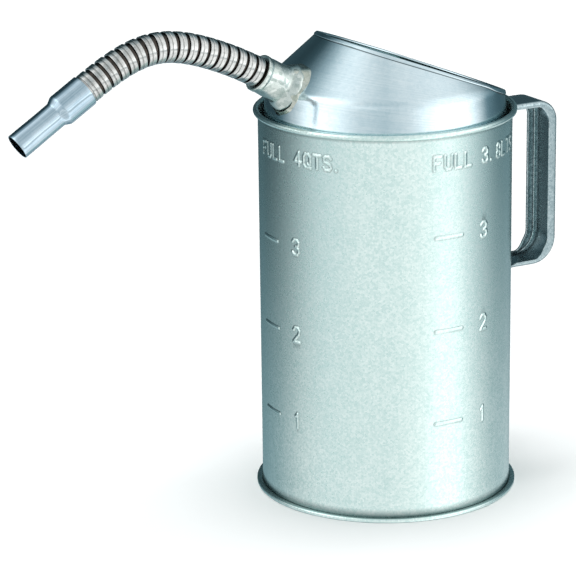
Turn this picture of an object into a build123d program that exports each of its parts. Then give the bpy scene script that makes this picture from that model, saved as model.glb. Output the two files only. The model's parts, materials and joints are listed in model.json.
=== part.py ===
from build123d import *
from math import asin, atan, cos, degrees, exp, hypot, pi, radians, sin, sqrt, tan
import os

# Galvanised four-quart motor oil can with a hooded mouth, a strap handle and a bending metal spout.
# Millimetres. The origin is the centre of the base on the floor, +Z is up, the handle is on +X and
# the spout on -X. Positions along the spout are measured in the XZ plane.

# --- driving sizes -----------------------------------------------------------------------------

can_radius = 75.6            # outside of the can wall
rim_height = 233.0           # centre of the wired edge above the floor
sheet = 0.6                  # galvanised sheet of wall, bottom and hood
joint_film = 0.05            # solder or zinc film between pieces that are fastened together

rim_wire_radius = 1.1        # steel wire inside the rolled top edge
rim_slit = 0.5               # opening left where the rolled edge ends

base_seam_overhang = 3.4     # how far the folded bottom seam stands out of the wall
base_seam_gap = 0.3          # zinc-filled gap between the folded layers
bottom_bead_inset = 25.6     # stiffening bead pressed up into the bottom, from its middle to the wall
bottom_bead_width = 6.0
bottom_bead_rise = 1.4

side_seam_width = 6.0        # lock seam down the inside of the wall, behind the handle
side_seam_thickness = 0.8

quart = 946353.0             # cubic millimetres
litre = 1000000.0
level_offset = 2.0           # height of the empty level above the floor
mark_length = 17.5           # graduation bars
mark_width = 2.2
mark_rise = 0.45             # embossed height of bars, figures and letters
stroke_width = 1.2
figure_height = 8.8
letter_height = 8.0
letter_advance = 7.0
quart_bars_azimuth = 176.0   # middle of the bars, degrees about +Z from +X
quart_figures_azimuth = 195.3
quart_words_azimuth = 168.8  # start of the words over the top bar
litre_bars_azimuth = -91.5
litre_figures_azimuth = -71.5
litre_words_azimuth = -99.2

hood_lap_depth = 25.0        # how far the hood's skirt reaches below the wired edge
hood_lap_straight = 4.0      # straight stretch at the bottom that is soldered to the wall
hood_crease_above_rim = 17.7 # where the skirt turns into the cone
hood_crease_inset = 5.2      # from the can wall's inside
hood_crease_fillet = 5.0
hood_cone_slope = 43.0       # degrees from level
mouth_above_rim = 33.6       # where the sloping mouth crosses the can's axis
mouth_slope = 20.7           # degrees, down towards the handle
mouth_hem_height = 2.6       # folded hem around the mouth, square to its plane
mouth_hem_thickness = 1.9
hood_solder_height = 4.0

spout_root_out = 15.9        # first pivot of the hose, at the socket's mouth, out from the crease
spout_root_above_crease = 13.9
spout_root_angle = 30.5      # degrees above level

socket_mouth_radius = 10.75
socket_foot_radius = 11.4
socket_flare_radius = 14.5
socket_length = 18.0         # straight part
socket_flare_length = 4.0
socket_mouth_set_back = 0.3  # mouth edge behind the first pivot
socket_solder_radius = 17.5
socket_solder_thickness = 1.5

turn_count = 18
turn_pitch = 6.55            # along the hose, from pivot to pivot
turn_gap = 1.8               # open groove between two crests when the hose is straight
hose_radius = 9.1            # outside of the crests
hose_strip = 0.8
hose_bore_radius = 6.4
neck_reach = 2.6             # how far each neck goes back under the crest before it
neck_hook_rise = 0.5
bend_base = 1.68             # rest bend of each turn: an even bend plus a swell near the tip
bend_swell = 5.72
bend_swell_turn = 11.75
bend_swell_width = 3.24

cuff_length = 14.0           # hose end that is soldered inside the socket
nozzle_sleeve_length = 17.3
nozzle_shoulder_length = 5.0
nozzle_tube_length = 28.2
nozzle_tube_radius = 7.7
nozzle_wall = 0.5
nozzle_lap = 9.0             # last turn's tail inside the nozzle

handle_stand_off = 39.9      # outer face of the grip from the can wall
handle_below_rim = 6.5
handle_height = 102.5
handle_width = 24.2
handle_sheet = 0.8
handle_top_bend = 13.0
handle_bottom_bend = 16.0
handle_flange_depth = 6.5
handle_top_flange_depth = 4.0
handle_flange_clear = 3.9    # flanges start this far from the can wall
handle_hem = 1.5
handle_upper_foot = 29.0     # long enough to put its rivets below the hood's lap
handle_lower_foot = 18.0
rivet_edge_distance = 6.0    # rivet centres above each foot's free end
rivet_spacing = 13.0
rivet_shank_radius = 1.6
rivet_head_radius = 3.1
rivet_head_height = 1.5
rivet_tail_radius = 2.8
rivet_tail_height = 0.9
rivet_hole_clearance = 0.05

# --- sizes that follow -------------------------------------------------------------------------

wall_inner = can_radius - sheet
rim_bead_radius = rim_wire_radius + sheet
rim_centre_radius = wall_inner + rim_bead_radius
seam_outer = can_radius + base_seam_overhang
seam_layer = sheet + base_seam_gap
seam_height = 2 * seam_layer + sheet
hood_lap_bottom = rim_height - hood_lap_depth
hood_lap_radius = wall_inner - joint_film
mouth_fall = tan(radians(mouth_slope))
level_area = pi * wall_inner ** 2
handle_foot_radius = can_radius + joint_film
bottom_bead_radius = can_radius - bottom_bead_inset
hood_crease_height = rim_height + hood_crease_above_rim
hood_crease_radius = wall_inner - hood_crease_inset
mouth_centre_height = rim_height + mouth_above_rim
spout_root_x = -hood_crease_radius - spout_root_out
spout_root_z = hood_crease_height + spout_root_above_crease
handle_reach = can_radius + handle_stand_off
handle_top = rim_height - handle_below_rim
handle_bottom = handle_top - handle_height
handle_flange_start = can_radius + handle_flange_clear
handle_inner_edge = handle_reach - handle_flange_depth


def ring_section(points, centre=(0, 0, 0), tilt=0.0):
    """Turned solid from (radius, height) points about the Z axis, then tilted and placed."""
    profile = Plane.XZ * make_face(Polyline(*points, close=True))
    return Pos(*centre) * Rot(0, tilt, 0) * revolve(profile, Axis.Z, 360)


def rounded_outline(corners, rounded):
    """Closed outline with rounded corners, given as {corner number: radius}."""
    face = make_face(Polyline(*corners, close=True))
    for corner, radius in rounded.items():
        point = Vector(*corners[corner])
        nearest = face.vertices().sort_by(lambda v: (Vector(v.X, v.Y) - point).length)[0]
        face = fillet(nearest, radius)
    return face


def tube(outer, inner, low, high):
    """Plain tube on the Z axis."""
    return ring_section([(inner, low), (outer, low), (outer, high), (inner, high)])


def plate(width_x, width_y, low, high, x=0.0, y=0.0):
    """Upright block between two heights."""
    return Pos(x, y, (low + high) / 2) * Box(width_x, width_y, high - low)


# --- embossed graduations ----------------------------------------------------------------------

# Strokes of each figure and letter in a cell one unit high, as chains of points.
GLYPHS = {
    "1": [[(0.12, 0.78), (0.3, 1), (0.3, 0)]],
    "2": [[(0, 0.8), (0.15, 1), (0.42, 1), (0.56, 0.8), (0.5, 0.55), (0, 0), (0.58, 0)]],
    "3": [[(0, 0.85), (0.15, 1), (0.42, 1), (0.56, 0.82), (0.5, 0.6), (0.28, 0.52)],
          [(0.28, 0.52), (0.52, 0.42), (0.58, 0.2), (0.44, 0), (0.14, 0), (0, 0.15)]],
    "4": [[(0.42, 0), (0.42, 1), (0, 0.3), (0.6, 0.3)]],
    "8": [[(0.28, 0.52), (0.08, 0.62), (0.06, 0.86), (0.2, 1), (0.38, 1), (0.52, 0.86), (0.5, 0.62),
           (0.28, 0.52), (0.04, 0.38), (0.02, 0.14), (0.18, 0), (0.4, 0), (0.56, 0.14), (0.54, 0.38),
           (0.28, 0.52)]],
    "F": [[(0, 0), (0, 1), (0.55, 1)], [(0, 0.52), (0.42, 0.52)]],
    "U": [[(0, 1), (0, 0.2), (0.14, 0), (0.42, 0), (0.56, 0.2), (0.56, 1)]],
    "L": [[(0, 1), (0, 0), (0.52, 0)]],
    "Q": [[(0.16, 0), (0, 0.22), (0, 0.78), (0.16, 1), (0.42, 1), (0.58, 0.78), (0.58, 0.22), (0.42, 0),
           (0.16, 0)], [(0.36, 0.26), (0.62, -0.06)]],
    "T": [[(0, 1), (0.6, 1)], [(0.3, 1), (0.3, 0)]],
    "S": [[(0.56, 0.84), (0.42, 1), (0.14, 1), (0, 0.82), (0.06, 0.6), (0.5, 0.42), (0.58, 0.18),
           (0.44, 0), (0.14, 0), (0, 0.16)]],
    ".": [[(0.1, 0), (0.12, 0.02)]],
}


def bar(start, end, width):
    """Round-ended bar between two points of a sketch."""
    run = hypot(end[0] - start[0], end[1] - start[1])
    turn = degrees(atan((end[1] - start[1]) / (end[0] - start[0]))) if end[0] != start[0] else 90
    middle = ((start[0] + end[0]) / 2, (start[1] + end[1]) / 2)
    return Pos(*middle) * Rot(0, 0, turn) * SlotCenterToCenter(run, width)


def glyph(letter, height):
    """Sketch of one figure or letter, standing on its base line."""
    bars = []
    for chain in GLYPHS[letter]:
        for start, end in zip(chain, chain[1:]):
            bars.append(bar([height * v for v in start], [height * v for v in end], stroke_width))
    return Sketch() + bars


def on_wall(sketch, azimuth, height):
    """Push a sketch out through the can wall at an azimuth and a height."""
    outward = Vector(cos(radians(azimuth)), sin(radians(azimuth)), 0)
    across = Vector(-sin(radians(azimuth)), cos(radians(azimuth)), 0)
    face_plane = Plane(origin=outward * (wall_inner - 1) + Vector(0, 0, height), x_dir=across, z_dir=outward)
    return extrude(face_plane * sketch, 4)


def words_on_wall(words, azimuth, height):
    """Letters side by side around the wall from an azimuth, centred on a height."""
    letters = []
    for place, letter in enumerate(words):
        if letter != " ":
            turn = azimuth + degrees(place * letter_advance / can_radius)
            letters.append(on_wall(glyph(letter, letter_height), turn, height - letter_height / 2))
    return letters


def graduations():
    """Bars, figures and capacity words in relief, as one shell on the wall's outside."""
    pieces = []
    scales = ((quart, quart_bars_azimuth, quart_figures_azimuth),
              (litre, litre_bars_azimuth, litre_figures_azimuth))
    for volume, bars_azimuth, figures_azimuth in scales:
        for count in (1, 2, 3):
            level = level_offset + count * volume / level_area
            line = bar((-mark_length / 2, 0), (mark_length / 2, 0), mark_width)
            pieces.append(on_wall(line, bars_azimuth, level))
            pieces.append(on_wall(glyph(str(count), figure_height), figures_azimuth, level - figure_height / 2))
    full_level = level_offset + 4 * quart / level_area
    pieces += words_on_wall("FULL 4QTS.", quart_words_azimuth, full_level)
    pieces += words_on_wall("FULL 3.8LTS", litre_words_azimuth, full_level)
    skin = tube(can_radius + mark_rise, can_radius - sheet / 2, seam_height + 1, rim_height - 3)
    return [piece & skin for piece in pieces]


# --- rivets ------------------------------------------------------------------------------------

def radial(shape, azimuth, height):
    """Turn a shape that lies along +X to an azimuth and lift it to a height."""
    return Pos(0, 0, height) * Rot(0, 0, azimuth) * shape


rivet_azimuth = degrees(asin(rivet_spacing / 2 / can_radius))
upper_foot_end = handle_top - handle_upper_foot
lower_foot_end = handle_bottom + handle_sheet - handle_lower_foot
rivet_places = {
    "handle_rivets_upper": [(turn, upper_foot_end + rivet_edge_distance) for turn in (-rivet_azimuth, rivet_azimuth)],
    "handle_rivets_lower": [(turn, lower_foot_end + rivet_edge_distance) for turn in (-rivet_azimuth, rivet_azimuth)],
}


def rivet_solid():
    """Round-head rivet along +X through wall and foot, with its set end inside the can."""
    head_face = handle_foot_radius + handle_sheet + joint_film
    tail_face = wall_inner - 2 * joint_film
    tail_end = tail_face - rivet_tail_height
    outline = rounded_outline([
        (0, tail_end), (rivet_tail_radius, tail_end), (rivet_tail_radius, tail_face),
        (rivet_shank_radius, tail_face), (rivet_shank_radius, head_face), (rivet_head_radius, head_face),
        (rivet_head_radius, head_face + rivet_head_height), (0, head_face + rivet_head_height)],
        {1: rivet_tail_height * 0.7, 6: rivet_head_height * 0.9})
    return Rot(0, 90, 0) * revolve(Plane.XZ * outline, Axis.Z, 360)


def rivet_hole():
    """Clearance hole for one rivet's shank."""
    return Pos(can_radius, 0, 0) * Rot(0, 90, 0) * Cylinder(rivet_shank_radius + rivet_hole_clearance, 6)


def cut_rivet_holes(shape):
    """Shape with the four rivet holes taken out."""
    for places in rivet_places.values():
        for turn, height in places:
            shape -= radial(rivet_hole(), turn, height)
    return shape


# --- can ---------------------------------------------------------------------------------------

def can_wall():
    """Wall with its bottom flange, rolled top edge, inside lock seam and graduations."""
    flange_low = seam_layer
    flange_outer = seam_outer - sheet - base_seam_gap
    wall = ring_section([
        (wall_inner, flange_low), (flange_outer, flange_low), (flange_outer, flange_low + sheet),
        (can_radius, flange_low + sheet), (can_radius, rim_height), (wall_inner, rim_height)])
    roll_section = Pos(rim_centre_radius, rim_height) * (
        Circle(rim_bead_radius) - Circle(rim_wire_radius + joint_film))
    slit = Pos(can_radius + rim_slit / 2 + 0.15, rim_height - rim_bead_radius) * Rectangle(rim_slit, 2.0)
    wall += revolve(Plane.XZ * (roll_section - slit), Axis.Z, 360)
    seam = tube(wall_inner + sheet / 2, wall_inner - side_seam_thickness, seam_height, hood_lap_bottom - 2)
    wall += seam & plate(20, side_seam_width, 0, rim_height, x=wall_inner)
    wall += graduations()
    return cut_rivet_holes(wall)


def rim_wire():
    """Steel wire ring inside the rolled top edge."""
    section = Pos(rim_centre_radius, rim_height) * Circle(rim_wire_radius)
    return revolve(Plane.XZ * section, Axis.Z, 360)


def bottom_pan():
    """Bottom disc folded up and over the wall's flange, with one stiffening bead."""
    bead_in = bottom_bead_radius - bottom_bead_width / 2
    bead_out = bottom_bead_radius + bottom_bead_width / 2
    slope = bottom_bead_width / 4
    fold_inner = can_radius + joint_film
    return ring_section([
        (0, 0), (bead_in, 0), (bead_in + slope, bottom_bead_rise), (bead_out - slope, bottom_bead_rise),
        (bead_out, 0), (seam_outer - 0.4, 0), (seam_outer, 0.4), (seam_outer, seam_height - 0.4),
        (seam_outer - 0.4, seam_height), (fold_inner, seam_height), (fold_inner, seam_height - sheet),
        (seam_outer - sheet, seam_height - sheet), (seam_outer - sheet, sheet), (bead_out + 0.3, sheet),
        (bead_out - slope + 0.3, bottom_bead_rise + sheet), (bead_in + slope - 0.3, bottom_bead_rise + sheet),
        (bead_in - 0.3, sheet), (0, sheet)])


# --- hood --------------------------------------------------------------------------------------

def hood_filled(inset):
    """Hood's outline as one filled solid, moved in from its outside by an inset."""
    top_radius = 20.0
    cone_rise = tan(radians(hood_cone_slope))
    top_height = hood_crease_height + (hood_crease_radius - top_radius) * cone_rise
    cone_drop = inset / cos(radians(hood_cone_slope))
    crease_height = hood_crease_height - cone_drop + inset * cone_rise
    points = [(0, hood_lap_bottom), (hood_lap_radius - inset, hood_lap_bottom),
              (hood_lap_radius - inset, hood_lap_bottom + hood_lap_straight),
              (hood_crease_radius - inset, crease_height),
              (top_radius, top_height - cone_drop), (0, top_height - cone_drop)]
    outline = make_face(Polyline(*points, close=True))
    crease = outline.vertices().sort_by(lambda v: abs(v.Y - crease_height) + abs(v.X - hood_crease_radius + inset))
    outline = fillet(crease[0], hood_crease_fillet)
    return revolve(Plane.XZ * outline, Axis.Z, 360)


def mouth_block(depth_below, depth_above):
    """Slab along the mouth's plane, from a depth below it to a depth above it."""
    slab = Pos(0, 0, (depth_above - depth_below) / 2) * Box(300, 300, depth_above + depth_below)
    return Pos(0, 0, mouth_centre_height) * Rot(0, mouth_slope, 0) * slab


def spout_frame(x, z, angle):
    """Place local +Z along the spout's axis: out along -X and up by an angle in degrees."""
    return Pos(x, 0, z) * Rot(0, angle - 90, 0)


def spout_core(radius, low, high):
    """Round bar along the socket's axis, between two distances from the first pivot."""
    core = Pos(0, 0, (low + high) / 2) * Cylinder(radius, high - low)
    return spout_frame(spout_root_x, spout_root_z, spout_root_angle) * core


def hood():
    """Sheet hood: straight lap, skirt, cone and a folded hem around the sloping mouth."""
    shell = hood_filled(0) - hood_filled(sheet)
    shell -= tube(wall_inner - sheet - joint_film, 0, hood_lap_bottom - 1, hood_lap_bottom + sheet + 0.5)
    spare = (mouth_hem_thickness - sheet) / 2
    hem = (hood_filled(-spare) - hood_filled(sheet + spare)) & mouth_block(mouth_hem_height, 0)
    hem &= plate(400, 400, hood_lap_bottom + hood_lap_straight + 10, 400)
    shell = shell - mouth_block(0, 100) + hem
    return shell - spout_core(hose_radius - hose_strip, -40, 0)


def hood_solder():
    """Solder run in the groove between the hood's lap and the can wall."""
    low = hood_lap_bottom + hood_lap_straight
    fall = (hood_lap_radius - hood_crease_radius) / (hood_crease_height - low)
    skirt_at_top = hood_lap_radius - fall * hood_solder_height
    return ring_section([(hood_lap_radius, low), (wall_inner, low), (wall_inner, low + hood_solder_height + 1.2),
                         (skirt_at_top, low + hood_solder_height)])


# --- spout -------------------------------------------------------------------------------------

def turn_bend(number):
    """Rest bend in degrees at the pivot before a turn of the hose."""
    return bend_base + bend_swell * exp(-((number - bend_swell_turn) / bend_swell_width) ** 2)


def hose_path():
    """Pivot x, pivot z and angle of each turn, then the same for the nozzle's start."""
    x, z, angle = spout_root_x, spout_root_z, spout_root_angle
    stations = []
    for number in range(1, turn_count + 1):
        angle -= turn_bend(number)
        stations.append((x, z, angle))
        x -= turn_pitch * cos(radians(angle))
        z += turn_pitch * sin(radians(angle))
    return stations, (x, z, angle)


hose_stations, nozzle_station = hose_path()


def socket_profile(bore):
    """Points of the socket's section, distances measured back from the first pivot."""
    mouth = -socket_mouth_set_back
    shoulder = -socket_mouth_set_back - cuff_length
    flare = mouth - socket_length
    foot = flare - socket_flare_length
    end = foot - 14
    if not bore:
        return [(0, end), (socket_flare_radius, end), (socket_flare_radius, foot),
                (socket_foot_radius, flare), (socket_mouth_radius, mouth), (0, mouth)]
    seat = hose_radius + joint_film
    throat = hose_radius - hose_strip
    return [(throat, end), (socket_flare_radius, end), (socket_flare_radius, foot),
            (socket_foot_radius, flare), (socket_mouth_radius, mouth), (seat, mouth), (seat, shoulder),
            (throat, shoulder)]


def spout_socket():
    """Flared collar that carries the hose, cut to sit on the hood."""
    place = spout_frame(spout_root_x, spout_root_z, spout_root_angle)
    return place * ring_section(socket_profile(True)) - hood_filled(-joint_film)


def socket_solder():
    """Ring of solder around the foot of the socket, following the hood's surface."""
    place = spout_frame(spout_root_x, spout_root_z, spout_root_angle)
    patch = hood_filled(-socket_solder_thickness) - hood_filled(-joint_film)
    patch &= spout_core(socket_solder_radius, -40, 0)
    return patch - place * ring_section(socket_profile(False))


def hose_root_cuff():
    """End of the hose that is soldered into the socket."""
    cuff = tube(hose_radius, hose_radius - hose_strip, -socket_mouth_set_back - cuff_length, -turn_gap / 2)
    return spout_frame(spout_root_x, spout_root_z, spout_root_angle) * cuff


def hose_turn(number):
    """One turn of the interlocked strip: outer crest, side wall and the neck under the turn before."""
    crest_low = turn_gap / 2
    crest_high = turn_pitch - turn_gap / 2
    if number == turn_count:
        crest_high = turn_pitch + nozzle_lap
    neck_outer = hose_bore_radius + hose_strip
    round_off = hose_strip / 2
    ring = ring_section([
        (hose_bore_radius, -neck_reach), (neck_outer + neck_hook_rise, -neck_reach),
        (neck_outer + neck_hook_rise, -neck_reach + hose_strip / 2), (neck_outer, -neck_reach + hose_strip),
        (neck_outer, crest_low), (hose_radius - round_off, crest_low), (hose_radius, crest_low + round_off),
        (hose_radius, crest_high - round_off), (hose_radius - round_off, crest_high),
        (hose_radius - hose_strip, crest_high), (hose_radius - hose_strip, crest_low + hose_strip),
        (hose_bore_radius, crest_low + hose_strip)])
    return spout_frame(*hose_stations[number - 1]) * ring


def nozzle():
    """Reduced tip: sleeve over the hose's end, conical shoulder and straight pouring tube."""
    sleeve_inner = hose_radius + joint_film
    sleeve_outer = sleeve_inner + nozzle_wall
    start = socket_mouth_set_back
    shoulder = start + nozzle_sleeve_length
    neck = shoulder + nozzle_shoulder_length
    tip = neck + nozzle_tube_length
    tube_inner = nozzle_tube_radius - nozzle_wall
    body = ring_section([
        (sleeve_inner, start), (sleeve_outer, start), (sleeve_outer, shoulder), (nozzle_tube_radius, neck),
        (nozzle_tube_radius, tip), (tube_inner, tip), (tube_inner, neck), (sleeve_inner, shoulder)])
    return spout_frame(*nozzle_station) * body


# --- handle ------------------------------------------------------------------------------------

def slab_across(face, width, y=0.0):
    """Side outline pushed out to a width across the handle, centred on y."""
    return Pos(0, y, 0) * extrude(Plane.XZ * face, width / 2, both=True)


def handle():
    """Strap pressed to a channel: web, two hemmed flanges and a foot at each end."""
    t = handle_sheet
    inside = can_radius - 10
    outer = rounded_outline([(inside, handle_top), (handle_reach, handle_top), (handle_reach, handle_bottom),
                          (inside, handle_bottom)], {1: handle_top_bend, 2: handle_bottom_bend})
    hollow = rounded_outline([(inside, handle_top - t), (handle_reach - t, handle_top - t),
                           (handle_reach - t, handle_bottom + t), (inside, handle_bottom + t)],
                          {1: handle_top_bend - t, 2: handle_bottom_bend - t})
    top_edge = handle_top - handle_top_flange_depth
    bottom_edge = handle_bottom + handle_flange_depth

    def grip_space(grow):
        return rounded_outline([
            (inside, handle_top - 1.6 + grow), (handle_inner_edge + grow, top_edge + grow),
            (handle_inner_edge + grow, bottom_edge - grow), (handle_inner_edge - 15, bottom_edge - grow),
            (inside, handle_bottom + 1.0 - grow)],
            {1: handle_top_bend - 4 + grow, 2: handle_bottom_bend - 6 + grow})

    edge_y = (handle_width - t) / 2
    flange = outer - grip_space(0)
    hem = grip_space(handle_hem) - grip_space(0)
    solid = slab_across(outer - hollow, handle_width)
    for side in (-1, 1):
        solid += slab_across(flange, t, side * edge_y)
        solid += slab_across(hem & outer, handle_hem + t, side * (edge_y - handle_hem / 2))
    ends = tube(handle_flange_start, 0, 0, 400)
    feet_shell = tube(handle_foot_radius + t, handle_foot_radius, 0, 400)
    solid = solid - ends + (slab_across(outer - hollow, handle_width) & ends)
    solid -= tube(handle_foot_radius, 0, 0, 400)
    for foot_end, foot_top in ((upper_foot_end, handle_top), (lower_foot_end, handle_bottom + t)):
        solid += feet_shell & plate(30, handle_width, foot_end, foot_top, x=can_radius)
    return cut_rivet_holes(solid)


def rivet_group(places):
    """Rivets of one handle foot, as separate solids."""
    return Compound(children=[radial(rivet_solid(), turn, height) for turn, height in places])


# --- write one file per piece --------------------------------------------------------------------

def build_pieces():
    """Every piece of the can by its node name."""
    pieces = {
        "can_wall": can_wall(),
        "rim_wire": rim_wire(),
        "bottom_pan": bottom_pan(),
        "hood": hood(),
        "hood_solder": hood_solder(),
        "spout_socket": spout_socket(),
        "socket_solder": socket_solder(),
        "hose_root_cuff": hose_root_cuff(),
        "nozzle": nozzle(),
        "handle": handle(),
    }
    for name, places in rivet_places.items():
        pieces[name] = rivet_group(places)
    for number in range(1, turn_count + 1):
        pieces[f"hose_turn_{number:02d}"] = hose_turn(number)
    return pieces


os.makedirs("parts", exist_ok=True)
for node_name, piece in build_pieces().items():
    export_step(piece, f"parts/{node_name}.step")
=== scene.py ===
import json
import logging
import math
from dataclasses import dataclass, field
from enum import Enum

import bmesh
import bpy
import numpy as np
from mathutils import Matrix, Vector


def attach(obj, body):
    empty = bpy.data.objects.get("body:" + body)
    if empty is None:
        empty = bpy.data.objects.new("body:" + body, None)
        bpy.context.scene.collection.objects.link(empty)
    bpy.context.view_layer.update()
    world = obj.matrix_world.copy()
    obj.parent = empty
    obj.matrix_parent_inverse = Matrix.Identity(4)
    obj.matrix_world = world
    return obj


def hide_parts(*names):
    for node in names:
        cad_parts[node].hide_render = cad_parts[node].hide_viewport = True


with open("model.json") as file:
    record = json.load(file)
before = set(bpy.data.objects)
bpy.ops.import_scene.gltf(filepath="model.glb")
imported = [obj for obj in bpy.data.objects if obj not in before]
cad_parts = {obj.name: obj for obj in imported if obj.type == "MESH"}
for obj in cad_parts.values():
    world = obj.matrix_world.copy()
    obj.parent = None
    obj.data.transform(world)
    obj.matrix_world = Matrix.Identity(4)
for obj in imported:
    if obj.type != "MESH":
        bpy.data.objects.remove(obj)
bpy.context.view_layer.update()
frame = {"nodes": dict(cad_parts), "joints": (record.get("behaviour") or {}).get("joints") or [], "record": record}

LOG = logging.getLogger("oil_can")
MM = 0.001


# --- small helpers -----------------------------------------------------------------------------

def linear(hex_colour: str) -> tuple[float, float, float, float]:
    """Turn an sRGB hex colour into the linear one that the shaders use.

    Args:
        hex_colour: six hex digits, with or without a leading #.

    Returns:
        Linear red, green, blue and an alpha of one.
    """
    digits = hex_colour.lstrip("#")
    channels = [int(digits[i:i + 2], 16) / 255 for i in (0, 2, 4)]
    r, g, b = (c / 12.92 if c <= 0.04045 else ((c + 0.055) / 1.055) ** 2.4 for c in channels)
    return (r, g, b, 1.0)


def add_node(tree: bpy.types.NodeTree, kind: str, settings: dict | None = None,
             links: dict | None = None) -> bpy.types.Node:
    """Add a node, set it up and link its inputs.

    Args:
        tree: the node tree to add to.
        kind: the node's type name.
        settings: properties by name, and input values by socket name or number under "inputs".
        links: sockets that feed the node, by input name or number.

    Returns:
        The new node.
    """
    node = tree.nodes.new(kind)
    settings = dict(settings or {})
    values = settings.pop("inputs", {})
    for key, value in settings.items():
        setattr(node, key, value)
    for key, value in values.items():
        node.inputs[key].default_value = value
    for key, socket in (links or {}).items():
        tree.links.new(socket, node.inputs[key])
    return node


def smooth(value: np.ndarray) -> np.ndarray:
    """Smooth step from 0 to 1.

    Args:
        value: positions, clipped to the range 0 to 1.

    Returns:
        The smoothed positions.
    """
    t = np.clip(value, 0.0, 1.0)
    return t * t * (3.0 - 2.0 * t)


def ripple(seed: int, count: int, *coords: np.ndarray) -> np.ndarray:
    """Sum of a few seeded sine waves, for gentle dents in hand-worked metal.

    Args:
        seed: fixes the waves.
        count: how many waves to add.
        coords: coordinate arrays, already divided by the size of a dent.

    Returns:
        Values of about -1 to 1, one for each point.
    """
    rng = np.random.default_rng(seed)
    total = np.zeros(np.broadcast(*coords).shape)
    for _ in range(count):
        phase = rng.uniform(0, 2 * math.pi)
        total = total + np.sin(sum(c * rng.normal(0, 2.2) for c in coords) + phase)
    return total / math.sqrt(count * 2)


def maths(tree: bpy.types.NodeTree, operation: str,
          *terms: bpy.types.NodeSocket | float) -> bpy.types.NodeSocket:
    """Add a math node.

    Args:
        tree: the node tree to add to.
        operation: what the node works out.
        terms: the inputs in order, each a socket or a number.

    Returns:
        The socket with the result.
    """
    values = {k: term for k, term in enumerate(terms) if isinstance(term, (int, float))}
    links = {k: term for k, term in enumerate(terms) if k not in values}
    node = add_node(tree, "ShaderNodeMath", {"operation": operation, "inputs": values}, links)
    return node.outputs["Value"]


def close_tree(tree: bpy.types.NodeTree, geometry: bpy.types.NodeSocket, finish: bpy.types.Material) -> None:
    """End a Geometry Nodes tree with real instances, their material and the output.

    Args:
        tree: the tree to end.
        geometry: what the tree has made.
        finish: the material.
    """
    whole = add_node(tree, "GeometryNodeRealizeInstances", links={"Geometry": geometry})
    clad = add_node(tree, "GeometryNodeSetMaterial", {"inputs": {"Material": finish}},
                    {"Geometry": whole.outputs["Geometry"]})
    add_node(tree, "NodeGroupOutput", links={"Geometry": clad.outputs["Geometry"]})


def run_tree(name: str, start: bpy.types.Mesh, tree: bpy.types.NodeTree,
             values: dict[str, float]) -> bpy.types.Mesh:
    """Run a Geometry Nodes tree once and keep its result as a plain mesh.

    Args:
        name: the piece's name.
        start: the mesh that goes into the tree.
        tree: the tree.
        values: the tree's inputs by name.

    Returns:
        The mesh that comes out.
    """
    carrier = bpy.data.objects.new(name + "_carrier", start)
    bpy.context.scene.collection.objects.link(carrier)
    modifier = carrier.modifiers.new(tree.name, "NODES")
    modifier.node_group = tree
    for socket in tree.interface.items_tree:
        if socket.in_out == "INPUT" and socket.name in values:
            modifier[socket.identifier] = values[socket.name]
    graph = bpy.context.evaluated_depsgraph_get()
    graph.update()
    mesh = bpy.data.meshes.new_from_object(carrier.evaluated_get(graph), depsgraph=graph)
    bpy.data.objects.remove(carrier)
    return mesh


def polar(radius: np.ndarray, turn: np.ndarray, height: np.ndarray) -> np.ndarray:
    """Points from a radius and an angle about Z, and a height.

    Args:
        radius: distance from Z.
        turn: angle about Z in radians.
        height: height along Z.

    Returns:
        The points, with their coordinates last.
    """
    return np.stack(np.broadcast_arrays(radius * np.cos(turn), radius * np.sin(turn), height), -1)


def run_lengths(outline: np.ndarray) -> np.ndarray:
    """Length along an outline up to each of its points, from 0."""
    return np.concatenate([[0], np.cumsum(np.hypot(*np.diff(outline, axis=0).T))])


def grid_object(name: str, points: np.ndarray, close_rows: bool,
                uv: tuple[np.ndarray, np.ndarray] | None = None, sharp_deg: float = 40.0,
                painted_shade: np.ndarray | None = None) -> bpy.types.Object:
    """Make a smooth object from a grid of points whose columns run all the way round.

    Args:
        name: the object's name.
        points: rows by columns by 3, in millimetres.
        close_rows: True if the last row joins the first, as on a ring.
        uv: along-row positions (columns + 1) and across-row positions (rows + 1), in millimetres.
        sharp_deg: edges that turn more than this stay crisp.
        painted_shade: how much painted shade each point holds, 0 to 1, rows by columns.

    Returns:
        The object, with its place in its mesh.
    """
    rows, cols = points.shape[:2]
    span = rows if close_rows else rows - 1
    i, j = np.meshgrid(np.arange(span), np.arange(cols), indexing="ij")
    i2, j2 = (i + 1) % rows, (j + 1) % cols
    faces = np.stack([i * cols + j, i * cols + j2, i2 * cols + j2, i2 * cols + j], -1).reshape(-1, 4)
    mesh = bpy.data.meshes.new(name)
    mesh.from_pydata((points.reshape(-1, 3) * MM).tolist(), [], faces.tolist())
    if uv is not None:
        u, v = uv
        corner_u = np.stack([u[j], u[j + 1], u[j + 1], u[j]], -1).reshape(-1)
        corner_v = np.stack([v[i], v[i], v[i + 1], v[i + 1]], -1).reshape(-1)
        layer = mesh.uv_layers.new(name="sheet")
        layer.data.foreach_set("uv", (np.stack([corner_u, corner_v], -1) * MM).reshape(-1))
    if painted_shade is not None:
        dirt = mesh.attributes.new("painted_shade", "FLOAT", "POINT")
        dirt.data.foreach_set("value", painted_shade.astype(float).reshape(-1))
    return finished_object(name, mesh, sharp_deg)


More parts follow.
